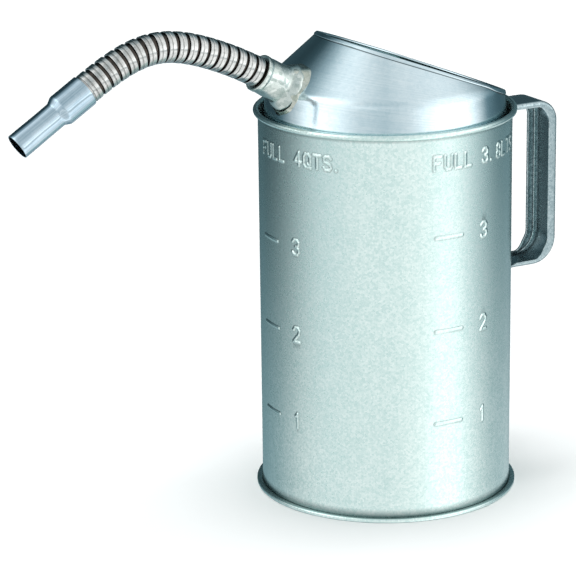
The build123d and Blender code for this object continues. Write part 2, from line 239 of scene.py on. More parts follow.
def finished_object(name: str, mesh: bpy.types.Mesh, sharp_deg: float) -> bpy.types.Object:
    """Merge doubles, point the faces outwards, shade smooth and link an object for a closed mesh.

    Args:
        name: the object's name.
        mesh: the closed mesh, in metres.
        sharp_deg: edges that turn more than this stay crisp.

    Returns:
        The linked object.
    """
    work = bmesh.new()
    work.from_mesh(mesh)
    bmesh.ops.remove_doubles(work, verts=work.verts, dist=1e-7)
    bmesh.ops.recalc_face_normals(work, faces=work.faces)
    work.to_mesh(mesh)
    work.free()
    mesh.shade_smooth()
    mesh.set_sharp_from_angle(angle=math.radians(sharp_deg))
    made = bpy.data.objects.new(name, mesh)
    bpy.context.scene.collection.objects.link(made)
    return made


def lathe(profile: list[tuple[float, float]], segments: int) -> np.ndarray:
    """Turn an outline about Z.

    Args:
        profile: (radius, height) points.
        segments: divisions around the axis.

    Returns:
        Points by outline point, segment and coordinate.
    """
    turn = np.linspace(0, 2 * math.pi, segments, endpoint=False)
    outline = np.array(profile)
    radius, height = outline[:, :1], outline[:, 1:]
    return polar(radius, turn, height)


def arc(centre: tuple[float, float], radius: float, start_deg: float, end_deg: float,
        steps: int) -> list[tuple[float, float]]:
    """Points of a circular arc, ends included.

    Args:
        centre: middle of the arc.
        radius: radius of the arc.
        start_deg: angle of the first point.
        end_deg: angle of the last point.
        steps: how many pieces the arc is cut into.

    Returns:
        One more point than there are steps.
    """
    angles = np.radians(np.linspace(start_deg, end_deg, steps + 1))
    return [(centre[0] + radius * math.cos(a), centre[1] + radius * math.sin(a)) for a in angles]


def densify(outline: list[tuple[float, float]], step: float, closed: bool) -> list[tuple[float, float]]:
    """Add points along long runs of an outline.

    Args:
        outline: corners of the outline.
        step: the longest run that is left.
        closed: True if the last corner joins the first.

    Returns:
        The outline with its added points.
    """
    dense = []
    pairs = zip(outline, outline[1:] + outline[:1]) if closed else zip(outline, outline[1:])
    for (x0, y0), (x1, y1) in pairs:
        count = max(1, math.ceil(math.hypot(x1 - x0, y1 - y0) / step))
        dense += [(x0 + (x1 - x0) * k / count, y0 + (y1 - y0) * k / count) for k in range(count)]
    return dense if closed else dense + [outline[-1]]


def lathe_object(name: str, profile: list[tuple[float, float]], segments: int, place: Matrix | None = None,
                 sharp_deg: float = 40.0) -> bpy.types.Object:
    """Turned closed object from a closed (radius, height) outline, in millimetres.

    Args:
        name: the object's name.
        profile: corners of the closed outline.
        segments: divisions around the axis.
        place: where the turned shape goes, in metres.
        sharp_deg: edges that turn more than this stay crisp.

    Returns:
        The object.
    """
    points = lathe(profile, segments)
    outline = np.array(profile + profile[:1])
    along = run_lengths(outline)
    around = np.linspace(0, 2 * math.pi * np.max(outline[:, 0]), segments + 1)
    made = grid_object(name, points, True, (around, along), sharp_deg)
    if place is not None:
        made.data.transform(place)
    return made


def axis_place(origin: Vector, direction: Vector) -> Matrix:
    """Place something along a direction in the XZ plane, with local Y kept on world Y.

    Args:
        origin: where the local origin goes, in metres.
        direction: where local +Z points.

    Returns:
        The matrix of the place.
    """
    z_axis = direction.normalized()
    y_axis = Vector((0, 1, 0))
    x_axis = y_axis.cross(z_axis)
    turn = Matrix((x_axis, y_axis, z_axis)).transposed()
    return Matrix.Translation(origin) @ turn.to_4x4()


# --- finishes ----------------------------------------------------------------------------------

# How many times longer than wide a mill streak is.
STREAK_LENGTH = 60


class Streak(Enum):
    """Which way the mill or brush marks run on a sheet; on the plated tube they also paint reflection streaks."""

    NONE = "none"
    AROUND = "around"
    ALONG = "along"


@dataclass(frozen=True)
class MetalFinish:
    """A metal surface: crystals or grain, cloudy patches, mill streaks (on the plated tube also painted reflection
    streaks), painted shade and a fine relief.

    The grain is a cell pattern of a real size in millimetres, each cell a little lighter or darker and a
    little glossier or duller than the next. Streaks follow the sheet's own UV map, in millimetres. A dark
    colour paints shade: it darkens the points whose shade attribute is above zero.
    """

    name: str
    tint: str
    shade: str
    roughness: float
    roughness_swing: float
    grain_mm: float
    cloud_mm: float
    relief_mm: float
    grain_share: float = 0.6
    streak: Streak = Streak.NONE
    streak_mm: float = 1.0
    streak_share: float = 0.0
    # Colour of the painted shade, laid where the shade attribute is set.
    grime: str | None = None

    def build(self) -> bpy.types.Material:
        """Build the node material.

        Returns:
            The material.
        """
        material = bpy.data.materials.new(self.name)
        material.use_nodes = True
        tree = material.node_tree
        tree.nodes.clear()
        place = add_node(tree, "ShaderNodeTexCoord").outputs["Object"]
        cells = add_node(tree, "ShaderNodeTexVoronoi", {"inputs": {"Scale": 1 / (self.grain_mm * MM)}},
                         {"Vector": place})
        cell = add_node(tree, "ShaderNodeSeparateColor",
                        links={"Color": cells.outputs["Color"]}).outputs["Red"]
        cloud = add_node(tree, "ShaderNodeTexNoise", {"inputs": {
            "Scale": 1 / (self.cloud_mm * MM), "Detail": 4.0, "Roughness": 0.6}}, {"Vector": place})
        blend = add_node(tree, "ShaderNodeMix", {"inputs": {0: self.grain_share}},
                         {2: cloud.outputs["Fac"], 3: cell}).outputs[0]
        if self.streak is not Streak.NONE:
            blend = self.add_streaks(tree, blend)
        colour = add_node(tree, "ShaderNodeMix", {"data_type": "RGBA", "inputs": {
            6: linear(self.shade), 7: linear(self.tint)}}, {0: blend}).outputs[2]
        rough = add_node(tree, "ShaderNodeMapRange", {"inputs": {
            3: self.roughness + self.roughness_swing, 4: self.roughness - self.roughness_swing}},
            {"Value": blend}).outputs["Result"]
        fine = add_node(tree, "ShaderNodeTexNoise", {"inputs": {
            "Scale": 2.5 / (self.grain_mm * MM), "Detail": 3.0, "Roughness": 0.65}}, {"Vector": place})
        relief = add_node(tree, "ShaderNodeBump", {"inputs": {
            "Strength": 1.0, "Distance": self.relief_mm * MM}}, {"Height": fine.outputs["Fac"]})
        # Painted shade: the dark colour is mixed in as far as the shade attribute says.
        if self.grime is not None:
            shade_mask = add_node(tree, "ShaderNodeAttribute", {"attribute_name": "painted_shade"}).outputs["Fac"]
            colour = add_node(tree, "ShaderNodeMix", {"data_type": "RGBA", "inputs": {
                7: linear(self.grime)}}, {0: shade_mask, 6: colour}).outputs[2]
        shader = add_node(tree, "ShaderNodeBsdfPrincipled", {"inputs": {"Metallic": 1.0}}, {
            "Base Color": colour, "Roughness": rough, "Normal": relief.outputs["Normal"]})
        add_node(tree, "ShaderNodeOutputMaterial", links={"Surface": shader.outputs["BSDF"]})
        return material

    def add_streaks(self, tree: bpy.types.NodeTree, blend: bpy.types.NodeSocket) -> bpy.types.NodeSocket:
        """Mix in mill streaks that run around or along the sheet; on the plated tube they also paint reflection
        streaks.

        Args:
            tree: the material's tree.
            blend: the light and dark pattern so far.

        Returns:
            The pattern with streaks.
        """
        sheet = add_node(tree, "ShaderNodeUVMap", {"uv_map": "sheet"}).outputs["UV"]
        fine, coarse = 1 / (self.streak_mm * MM), 1 / (self.streak_mm * STREAK_LENGTH * MM)
        stretch = (coarse, fine, 1.0) if self.streak is Streak.AROUND else (fine, coarse, 1.0)
        spread = add_node(tree, "ShaderNodeMapping", {"inputs": {"Scale": stretch}}, {"Vector": sheet})
        lines = add_node(tree, "ShaderNodeTexNoise", {"inputs": {"Scale": 1.0, "Detail": 3.0}},
                         {"Vector": spread.outputs["Vector"]})
        return add_node(tree, "ShaderNodeMix", {"inputs": {0: self.streak_share}},
                        {2: blend, 3: lines.outputs["Fac"]}).outputs[0]


# Hot-dip galvanised mild steel: frosty, with small zinc crystals that each catch the light differently. Its dark
# teal colour paints the shade under the rim, at the wall's foot and around the marks.
GALVANISED_SHEET = MetalFinish("hot_dip_galvanised_steel", "#eefaf7", "#b9d9d6", 0.25, 0.06, 1.2, 16, 0.022,
                               grain_share=0.55, streak=Streak.ALONG, streak_mm=0.8, streak_share=0.22,
                               grime="#34484b")
# Zinc-coated sheet that was spun to shape: the crystals are flattened, so it is brighter, with faint rings. Its
# darkest colour paints the shade at the root of the hem.
SPUN_ZINC_SHEET = MetalFinish("spun_zinc_coated_steel", "#e4eff2", "#a9c5d0", 0.15, 0.05, 2.0, 40, 0.010,
                              grain_share=0.25, streak=Streak.AROUND, streak_mm=0.9, streak_share=0.5,
                              grime="#27383d")
# Tin-lead solder, wiped on hot: bright, rounded and uneven.
WIPED_SOLDER = MetalFinish("wiped_tin_solder", "#dfe2da", "#8f9c90", 0.24, 0.08, 3.0, 7, 0.12)
# Tinned steel collar, dulled by flux.
TINNED_COLLAR = MetalFinish("tinned_steel_collar", "#dbe3df", "#97a8a3", 0.24, 0.08, 2.0, 12, 0.05)
# Nickel-plated steel strip, wound and interlocked: shiny crests, and painted shade that darkens the grooves by
# their depth.
WOUND_STRIP = MetalFinish("nickel_plated_steel_strip", "#dcdedc", "#969a99", 0.17, 0.06, 1.2, 12, 0.012,
                          grain_share=0.35, grime="#45403c")
# Bright zinc-plated drawn tube: almost a mirror, a little blue. Its dark blue streaks along the tube are partly
# draw lines and partly painted reflections.
PLATED_TUBE_PAINTED_REFLECTIONS = MetalFinish("bright_zinc_plated_tube", "#dceaf0", "#5f879f", 0.11, 0.05, 2.2, 18, 0.008,
                          grain_share=0.25, streak=Streak.ALONG, streak_mm=1.3, streak_share=0.75)
# Pressed galvanised strap: greyer and grainier than the can.
PRESSED_STRAP = MetalFinish("pressed_galvanised_strap", "#b6c6c9", "#74898f", 0.25, 0.08, 1.2, 14, 0.016)
# Galvanised soft-steel rivets.
RIVET_ZINC = MetalFinish("galvanised_rivet", "#c9d2d2", "#94a2a3", 0.34, 0.06, 0.9, 6, 0.03)
# Drawn steel wire, dull grey, seen only where the rolled edge ends.
DRAWN_WIRE = MetalFinish("drawn_steel_wire", "#8d8f8f", "#5f6263", 0.42, 0.06, 0.8, 6, 0.02)


# --- can body ----------------------------------------------------------------------------------

# Strokes of each figure and letter in a cell one unit high, as chains of points.
GLYPHS: dict[str, list[list[tuple[float, float]]]] = {
    "1": [[(0.12, 0.78), (0.3, 1), (0.3, 0)]],
    "2": [[(0, 0.8), (0.15, 1), (0.42, 1), (0.56, 0.8), (0.5, 0.55), (0, 0), (0.58, 0)]],
    "3": [[(0, 0.85), (0.15, 1), (0.42, 1), (0.56, 0.82), (0.5, 0.6), (0.28, 0.52)],
          [(0.28, 0.52), (0.52, 0.42), (0.58, 0.2), (0.44, 0), (0.14, 0), (0, 0.15)]],
    "4": [[(0.42, 0), (0.42, 1), (0, 0.3), (0.6, 0.3)]],
    "8": [[(0.28, 0.52), (0.08, 0.62), (0.06, 0.86), (0.2, 1), (0.38, 1), (0.52, 0.86), (0.5, 0.62),
           (0.28, 0.52), (0.04, 0.38), (0.02, 0.14), (0.18, 0), (0.4, 0), (0.56, 0.14), (0.54, 0.38),
           (0.28, 0.52)]],
    "F": [[(0, 0), (0, 1), (0.55, 1)], [(0, 0.52), (0.42, 0.52)]],
    "U": [[(0, 1), (0, 0.2), (0.14, 0), (0.42, 0), (0.56, 0.2), (0.56, 1)]],
    "L": [[(0, 1), (0, 0), (0.52, 0)]],
    "Q": [[(0.16, 0), (0, 0.22), (0, 0.78), (0.16, 1), (0.42, 1), (0.58, 0.78), (0.58, 0.22), (0.42, 0),
           (0.16, 0)], [(0.36, 0.26), (0.62, -0.06)]],
    "T": [[(0, 1), (0.6, 1)], [(0.3, 1), (0.3, 0)]],
    "S": [[(0.56, 0.84), (0.42, 1), (0.14, 1), (0, 0.82), (0.06, 0.6), (0.5, 0.42), (0.58, 0.18),
           (0.44, 0), (0.14, 0), (0, 0.16)]],
    ".": [[(0.1, 0), (0.12, 0.02)]],
}


@dataclass
class LevelMarks:
    """Raised level bars, figures and capacity words on the can wall, in unrolled millimetres."""

    radius: float = 75.6
    inner_radius: float = 75.0
    level_offset: float = 2.0
    quart: float = 946353.0
    litre: float = 1000000.0
    bar_length: float = 17.5
    bar_width: float = 1.3
    stroke: float = 1.15
    edge: float = 0.55
    rise: float = 0.45
    figure_height: float = 8.8
    letter_height: float = 8.0
    letter_advance: float = 7.0
    # How dark and how wide the painted shade around the marks is.
    dirt_depth: float = 0.5
    dirt_width: float = 0.5
    strokes: list[tuple[tuple[float, float], tuple[float, float], float]] = field(default_factory=list)

    def lay_out(self) -> None:
        """Collect every stroke as two ends and a width."""
        area = math.pi * self.inner_radius ** 2
        scales = ((self.quart, 176.0, 195.3), (self.litre, 268.5, 288.5))
        for volume, bars, figures in scales:
            for count in (1, 2, 3):
                level = self.level_offset + count * volume / area
                middle = math.radians(bars) * self.radius
                half = self.bar_length / 2
                self.strokes.append(((middle - half, level), (middle + half, level), self.bar_width))
                start = math.radians(figures) * self.radius - self.figure_height * 0.29
                self.add_glyph(str(count), start, level - self.figure_height / 2, self.figure_height)
        full = self.level_offset + 4 * self.quart / area
        for words, azimuth in (("FULL 4QTS.", 168.8), ("FULL 3.8LTS", 260.8)):
            for place, letter in enumerate(words):
                if letter != " ":
                    start = math.radians(azimuth) * self.radius + place * self.letter_advance
                    self.add_glyph(letter, start, full - self.letter_height / 2, self.letter_height)

    def add_glyph(self, letter: str, x: float, z: float, height: float) -> None:
        """Add the strokes of one figure or letter.

        Args:
            letter: which one.
            x: left edge, as a distance around the wall.
            z: height of its foot.
            height: how tall it is.
        """
        for chain in GLYPHS[letter]:
            for (x0, y0), (x1, y1) in zip(chain, chain[1:]):
                start, end = (x + x0 * height, z + y0 * height), (x + x1 * height, z + y1 * height)
                self.strokes.append((start, end, self.stroke))

    def height_at(self, x: np.ndarray, z: np.ndarray) -> tuple[np.ndarray, np.ndarray]:
        """Embossed height and the painted shade along the foot of each stroke over a grid of unrolled positions.

        Args:
            x: distance around the wall of each column.
            z: height of each row.

        Returns:
            Rows by columns of heights in millimetres, and of painted shade from 0 to 1.
        """
        relief, dirt = np.zeros((len(z), len(x))), np.zeros((len(z), len(x)))
        for (x0, z0), (x1, z1), width in self.strokes:
            reach = width / 2 + self.edge * 2
            cols = np.nonzero((x > min(x0, x1) - reach) & (x < max(x0, x1) + reach))[0]
            rows = np.nonzero((z > min(z0, z1) - reach) & (z < max(z0, z1) + reach))[0]
            if len(cols) == 0 or len(rows) == 0:
                continue
            px, pz = np.meshgrid(x[cols], z[rows])
            dx, dz = x1 - x0, z1 - z0
            t = np.clip(((px - x0) * dx + (pz - z0) * dz) / max(dx * dx + dz * dz, 1e-9), 0, 1)
            away = np.hypot(px - x0 - t * dx, pz - z0 - t * dz)
            lift = self.rise * smooth((width / 2 + self.edge / 2 - away) / self.edge)
            block = np.ix_(rows, cols)
            relief[block] = np.maximum(relief[block], lift)
            # Painted shade: a dark band just outside each raised stroke, where its edge meets the wall.
            edge_shade = smooth(1 - np.abs(away - width / 2 - self.edge) / self.dirt_width)
            dirt[block] = np.maximum(dirt[block], edge_shade)
        return relief, dirt * smooth(1 - relief / (0.8 * self.rise))


@dataclass
class CanBody:
    """Wall with its rolled rim and marks, bottom with its folded seam, and the wire in the rim."""

    outer: float = 75.6
    inner: float = 75.0
    rim_height: float = 233.0
    roll: float = 1.7
    wall_foot: float = 2.5
    dent: float = 0.10
    seam_outer: float = 79.0
    seam_height: float = 2.4
    sheet: float = 0.6
    seam_strip: float = 0.8
    # Painted shade under the rolled rim and in the crease at the foot of the wall.
    dirt_under_rim: float = 0.7
    dirt_at_foot: float = 0.9
    marks: LevelMarks = field(default_factory=LevelMarks)

    def columns(self) -> np.ndarray:
        """Azimuths in degrees: close together where there are marks, wider elsewhere.

        Returns:
            The azimuths, once round.
        """
        fine = 0.36
        spans = ((165.5, 220.5, fine), (220.5, 257.0, 2.4), (257.0, 320.0, fine), (320.0, 525.5, 2.5))
        return np.concatenate([np.arange(a, b - 1e-6, step) for a, b, step in spans])

    def rows(self) -> np.ndarray:
        """Heights in millimetres up the outside: close together where there are marks.

        Returns:
            The heights, rising.
        """
        plain, fine = 5.0, 0.45
        spans = ((self.wall_foot, 50.0, plain), (50.0, 64.6, fine), (64.6, 103.4, plain),
                 (103.4, 121.0, fine), (121.0, 157.0, plain), (157.0, 177.4, fine), (177.4, 210.2, plain),
                 (210.2, 222.0, fine), (222.0, self.rim_height - 1.4, 2.4))
        return np.concatenate([np.arange(a, b - 1e-6, step) for a, b, step in spans])

    def build_wall(self) -> bpy.types.Object:
        """Build the wall as one closed skin with the marks pressed out of it.

        Returns:
            The wall.
        """
        self.marks.lay_out()
        turn, height = np.radians(self.columns()), self.rows()
        relief, dirt = self.marks.height_at(turn * self.outer, height)
        dents = self.dent * ripple(3, 7, 2.0 * np.cos(turn)[None, :], 2.0 * np.sin(turn)[None, :],
                                   height[:, None] / 60)
        fade = smooth((height - self.wall_foot) / 20) * smooth((self.rim_height - 4 - height) / 20)
        outside = self.outer + relief + (dents - self.dent) * fade[:, None]
        join = math.degrees(math.acos((self.inner + self.roll - self.outer) / self.roll))
        roll = arc((self.inner + self.roll, self.rim_height), self.roll, -(180 - join), 180, 22)
        inside = [(self.inner, z) for z in np.arange(self.rim_height - 4, self.wall_foot, -12.0)]
        inside += [(self.inner, self.wall_foot)]
        radius = np.vstack([outside] + [np.full((1, len(turn)), r) for r, _ in roll + inside])
        level = np.concatenate([height, [z for _, z in roll + inside]])
        points = polar(radius, turn, level[:, None])
        around = np.concatenate([turn, [turn[0] + 2 * math.pi]]) * self.outer
        along = np.concatenate([level, level[:1]])
        # Painted shade: around the marks, under the rolled rim and at the wall's foot above the seam.
        painted_shade = np.zeros(radius.shape)
        painted_shade[:len(height)] = self.marks.dirt_depth * dirt
        painted_shade[len(height):len(height) + 3] = self.dirt_under_rim
        painted_shade[:1] = self.dirt_at_foot
        return grid_object("can_wall_sheet", points, True, (around, along), 50, painted_shade)

    def build_side_seam(self) -> bpy.types.Object:
        """Build the flattened lock seam down the inside of the wall, behind the handle.

        Returns:
            The seam strip.
        """
        half, low, high = 3.0, 4.0, 206.0
        inner = self.inner - self.seam_strip
        section = [(self.inner + 0.1, -half - 0.5), (inner + 0.25, -half), (inner, -half + 0.4),
                   (inner, half - 1.4), (inner + 0.3, half - 0.9), (inner + 0.35, half),
                   (self.inner + 0.1, half + 0.3)]
        rows = np.linspace(low, high, 40)
        ring = np.array([[(x, y) for x, y in section]])
        wave = 0.08 * ripple(5, 4, rows / 18.0, rows / 31.0)
        points = np.zeros((len(rows) + 2, len(section), 3))
        for k, z in enumerate(rows):
            points[k + 1, :, :2] = ring
            points[k + 1, 1:-1, 0] += wave[k]
            points[k + 1, :, 2] = z
        points[0], points[-1] = points[1].mean(0), points[-2].mean(0)
        return grid_object("side_lock_seam", points, False, sharp_deg=35)

    def build_bottom(self) -> bpy.types.Object:
        """Build the bottom with its pressed bead and the seam folded up around the wall.

        Returns:
            The bottom.
        """
        bead_in, bead_out, slope, rise = 47.0, 53.0, 1.5, 1.4
        fold_in, top, t = self.outer + 0.02, self.seam_height, self.sheet
        outline = [(0.02, 0), (bead_in, 0), (bead_in + slope, rise), (bead_out - slope, rise), (bead_out, 0)]
        outline += arc((self.seam_outer - 0.9, 0.9), 0.9, -90, 0, 8)
        outline += arc((self.seam_outer - 0.8, top - 0.8), 0.8, 0, 90, 8)
        outline += arc((fold_in + 0.5, top - 0.35), 0.35, 90, 150, 4)
        outline += [(fold_in, top - t), (self.inner - 0.2, top - 1.0), (self.inner - 0.7, 0.9 + t),
                    (self.inner - 1.6, t), (bead_out + 0.3, t), (bead_out - slope + 0.3, rise + t),
                    (bead_in + slope - 0.3, rise + t), (bead_in - 0.3, t), (0.02, t)]
        return lathe_object("bottom_with_folded_seam", densify(outline, 4.0, True), 256, sharp_deg=35)

    def dress(self, finishes: dict[str, bpy.types.Material]) -> list[bpy.types.Object]:
        """Build the body's pieces, give them their finishes and put them on the can.

        Args:
            finishes: the materials by key.

        Returns:
            The pieces that were built.
        """
        wall, seam, bottom = self.build_wall(), self.build_side_seam(), self.build_bottom()
        for piece, slot in ((wall, "galvanised_wall"), (seam, "galvanised_wall"),
                            (bottom, "galvanised_bottom")):
            piece.data.materials.append(finishes["galvanised"])
            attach(piece, "can")
        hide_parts("can_wall")
        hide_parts("bottom_pan")
        wire = frame["nodes"]["rim_wire"]
        wire.data.materials.clear()
        wire.data.materials.append(finishes["wire"])
        return [wall, seam, bottom]


# --- hood --------------------------------------------------------------------------------------

@dataclass
class Hood:
    """Soldered sheet hood: straight lap, skirt, rounded crease, cone and a hem around the sloping mouth."""

    lap_bottom: float = 208.0
    lap_straight: float = 212.0
    lap_radius: float = 74.95
    crease_radius: float = 69.8
    crease_height: float = 250.7
    crease_round: float = 9.0
    cone_slope: float = 43.0
    top_radius: float = 20.0
    mouth_height: float = 266.6
    mouth_slope: float = 20.7
    sheet: float = 0.6
    hem_length: float = 2.6
    hem_spare: float = 0.65
    hem_run: float = 4.0
    hem_rows: int = 22
    # How dark the painted shade along the root of the hem is.
    hem_dirt: float = 0.85
    columns: int = 288
    rows: int = 96

    def outline(self) -> np.ndarray:
        """Outside outline from the lap up the skirt and the cone.

        Returns:
            Closely spaced (radius, height) points.
        """
        rise = math.tan(math.radians(self.cone_slope))
        corner = Vector((self.crease_radius, self.crease_height))
        below = (Vector((self.lap_radius, self.lap_straight)) - corner).normalized()
        above = Vector((-1, rise)).normalized()
        half = below.angle(above) / 2
        reach = self.crease_round / math.tan(half)
        centre = corner + (below + above).normalized() * (self.crease_round / math.sin(half))
        start, end = corner + below * reach - centre, corner + above * reach - centre
        a0, a1 = math.degrees(math.atan2(start.y, start.x)), math.degrees(math.atan2(end.y, end.x))
        top = (self.top_radius, self.crease_height + (self.crease_radius - self.top_radius) * rise)
        knee = arc((self.lap_radius - 6.0, self.lap_straight), 6.0, 0, 0.01, 1)
        crease = arc(tuple(centre), self.crease_round, a0, a1, 24)
        points = [(self.lap_radius, self.lap_bottom)] + knee + crease + [top]
        return np.array(densify(points, 0.25, False))

    def section(self, azimuth: float, outline: np.ndarray) -> np.ndarray:
        """Closed section of the hood's sheet at one azimuth, cut by the mouth's plane.

        Args:
            azimuth: radians about Z.
            outline: the hood's whole outside outline.

        Returns:
            (radius, height) points, the same number at every azimuth.
        """
        fall = math.tan(math.radians(self.mouth_slope))
        over = outline[:, 1] - (self.mouth_height - fall * outline[:, 0] * math.cos(azimuth))
        last = int(np.argmax(over > 0))
        share = over[last - 1] / (over[last - 1] - over[last])
        cut = outline[last - 1] + share * (outline[last] - outline[last - 1])
        kept = np.vstack([outline[:last], cut])
        run = run_lengths(kept)
        cap = self.sheet / 2 + self.hem_spare
        ends = np.concatenate([np.linspace(0, run[-1] - self.hem_run - 0.2, self.rows - self.hem_rows),
                               np.linspace(run[-1] - self.hem_run, run[-1] - cap, self.hem_rows)])
        middle = np.stack([np.interp(ends, run, kept[:, k]) for k in (0, 1)], -1)
        ahead = np.gradient(middle, axis=0)
        ahead /= np.linalg.norm(ahead, axis=1)[:, None]
        normal = np.stack([ahead[:, 1], -ahead[:, 0]], -1)
        swell = self.hem_spare * smooth((ends - (run[-1] - self.hem_length - 0.5)) / 0.5)
        outer = middle + normal * swell[:, None]
        inner = middle - normal * (self.sheet + swell)[:, None]
        round_angles = np.radians(np.linspace(90, -90, 13)[1:-1])
        core = middle[-1] - normal[-1] * self.sheet / 2
        cap_points = [core + normal[-1] * cap * math.sin(a) + ahead[-1] * cap * math.cos(a)
                      for a in round_angles]
        return np.vstack([outer, cap_points, inner[::-1]])

    def build_shell(self) -> bpy.types.Object:
        """Build the hood's sheet as one closed skin.

        Returns:
            The hood's sheet.
        """
        outline = self.outline()
        turn = np.linspace(0, 2 * math.pi, self.columns, endpoint=False)
        sections = np.stack([self.section(a, outline) for a in turn], 1)
        radius, height = sections[..., 0], sections[..., 1]
        worked = 0.09 * ripple(11, 6, 1.6 * np.cos(turn)[None, :], 1.6 * np.sin(turn)[None, :], height / 22)
        radius = radius - np.abs(worked) * smooth((height - 236) / 8)
        points = polar(radius, turn, height)
        middle = sections[:, self.columns // 3]
        along = run_lengths(middle)
        along = np.append(along, along[-1] + self.sheet)
        around = np.linspace(0, 2 * math.pi * self.crease_radius, self.columns + 1)
        # Painted shade in a thin line at the root of the hem, under its edge.
        painted_shade = np.zeros(radius.shape)
        hem_share = (self.hem_run - self.hem_length - 0.5) / (self.hem_run - self.sheet / 2 - self.hem_spare)
        root = self.rows - self.hem_rows + int(self.hem_rows * hem_share)
        painted_shade[root - 2:root + 2] = self.hem_dirt
        return grid_object("hood_shell", points, True, (around, along), 50, painted_shade)

    def outside_of(self, points: np.ndarray) -> np.ndarray:
        """How far points lie outside the hood's skirt and cone.

        Args:
            points: places in the can's frame, in millimetres.

        Returns:
            Millimetres along the radius, below zero inside.
        """
        outline = self.outline()
        order = np.argsort(outline[:, 1], kind="stable")
        limit = np.interp(points[..., 2], outline[order, 1], outline[order, 0])
        return np.hypot(points[..., 0], points[..., 1]) - limit

    def build_solder(self) -> bpy.types.Object:
        """Build the solder run in the groove between the lap and the wall.

        Returns:
            The solder.
        """
        turn = np.linspace(0, 2 * math.pi, 220, endpoint=False)
        lift = 0.5 * ripple(21, 9, 6 * np.cos(turn), 6 * np.sin(turn))
        rows = []
        for radius, height, moves in ((74.97, 212.2, 0), (74.97, 216.4, 1), (74.75, 216.0, 1),
                                      (74.5, 215.7, 1), (74.35, 215.6, 1), (74.3, 215.0, 0),
                                      (74.8, 212.4, 0)):
            rows.append(polar(radius, turn, height + moves * lift))
        return grid_object("hood_solder_run", np.array(rows), True, sharp_deg=60)

    def dress(self, finishes: dict[str, bpy.types.Material]) -> list[bpy.types.Object]:
        """Build the hood's pieces, give them their finishes and put them on the can.

        Args:
            finishes: the materials by key.

        Returns:
            The pieces that were built.
        """
        shell, solder = self.build_shell(), self.build_solder()
        shell.data.materials.append(finishes["hood"])
        solder.data.materials.append(finishes["solder"])
        for piece, node, slot in ((shell, "hood", "hood_sheet"), (solder, "hood_solder", "hood_solder")):
            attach(piece, "can")
            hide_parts(node)
        return [shell, solder]


# --- spout -------------------------------------------------------------------------------------

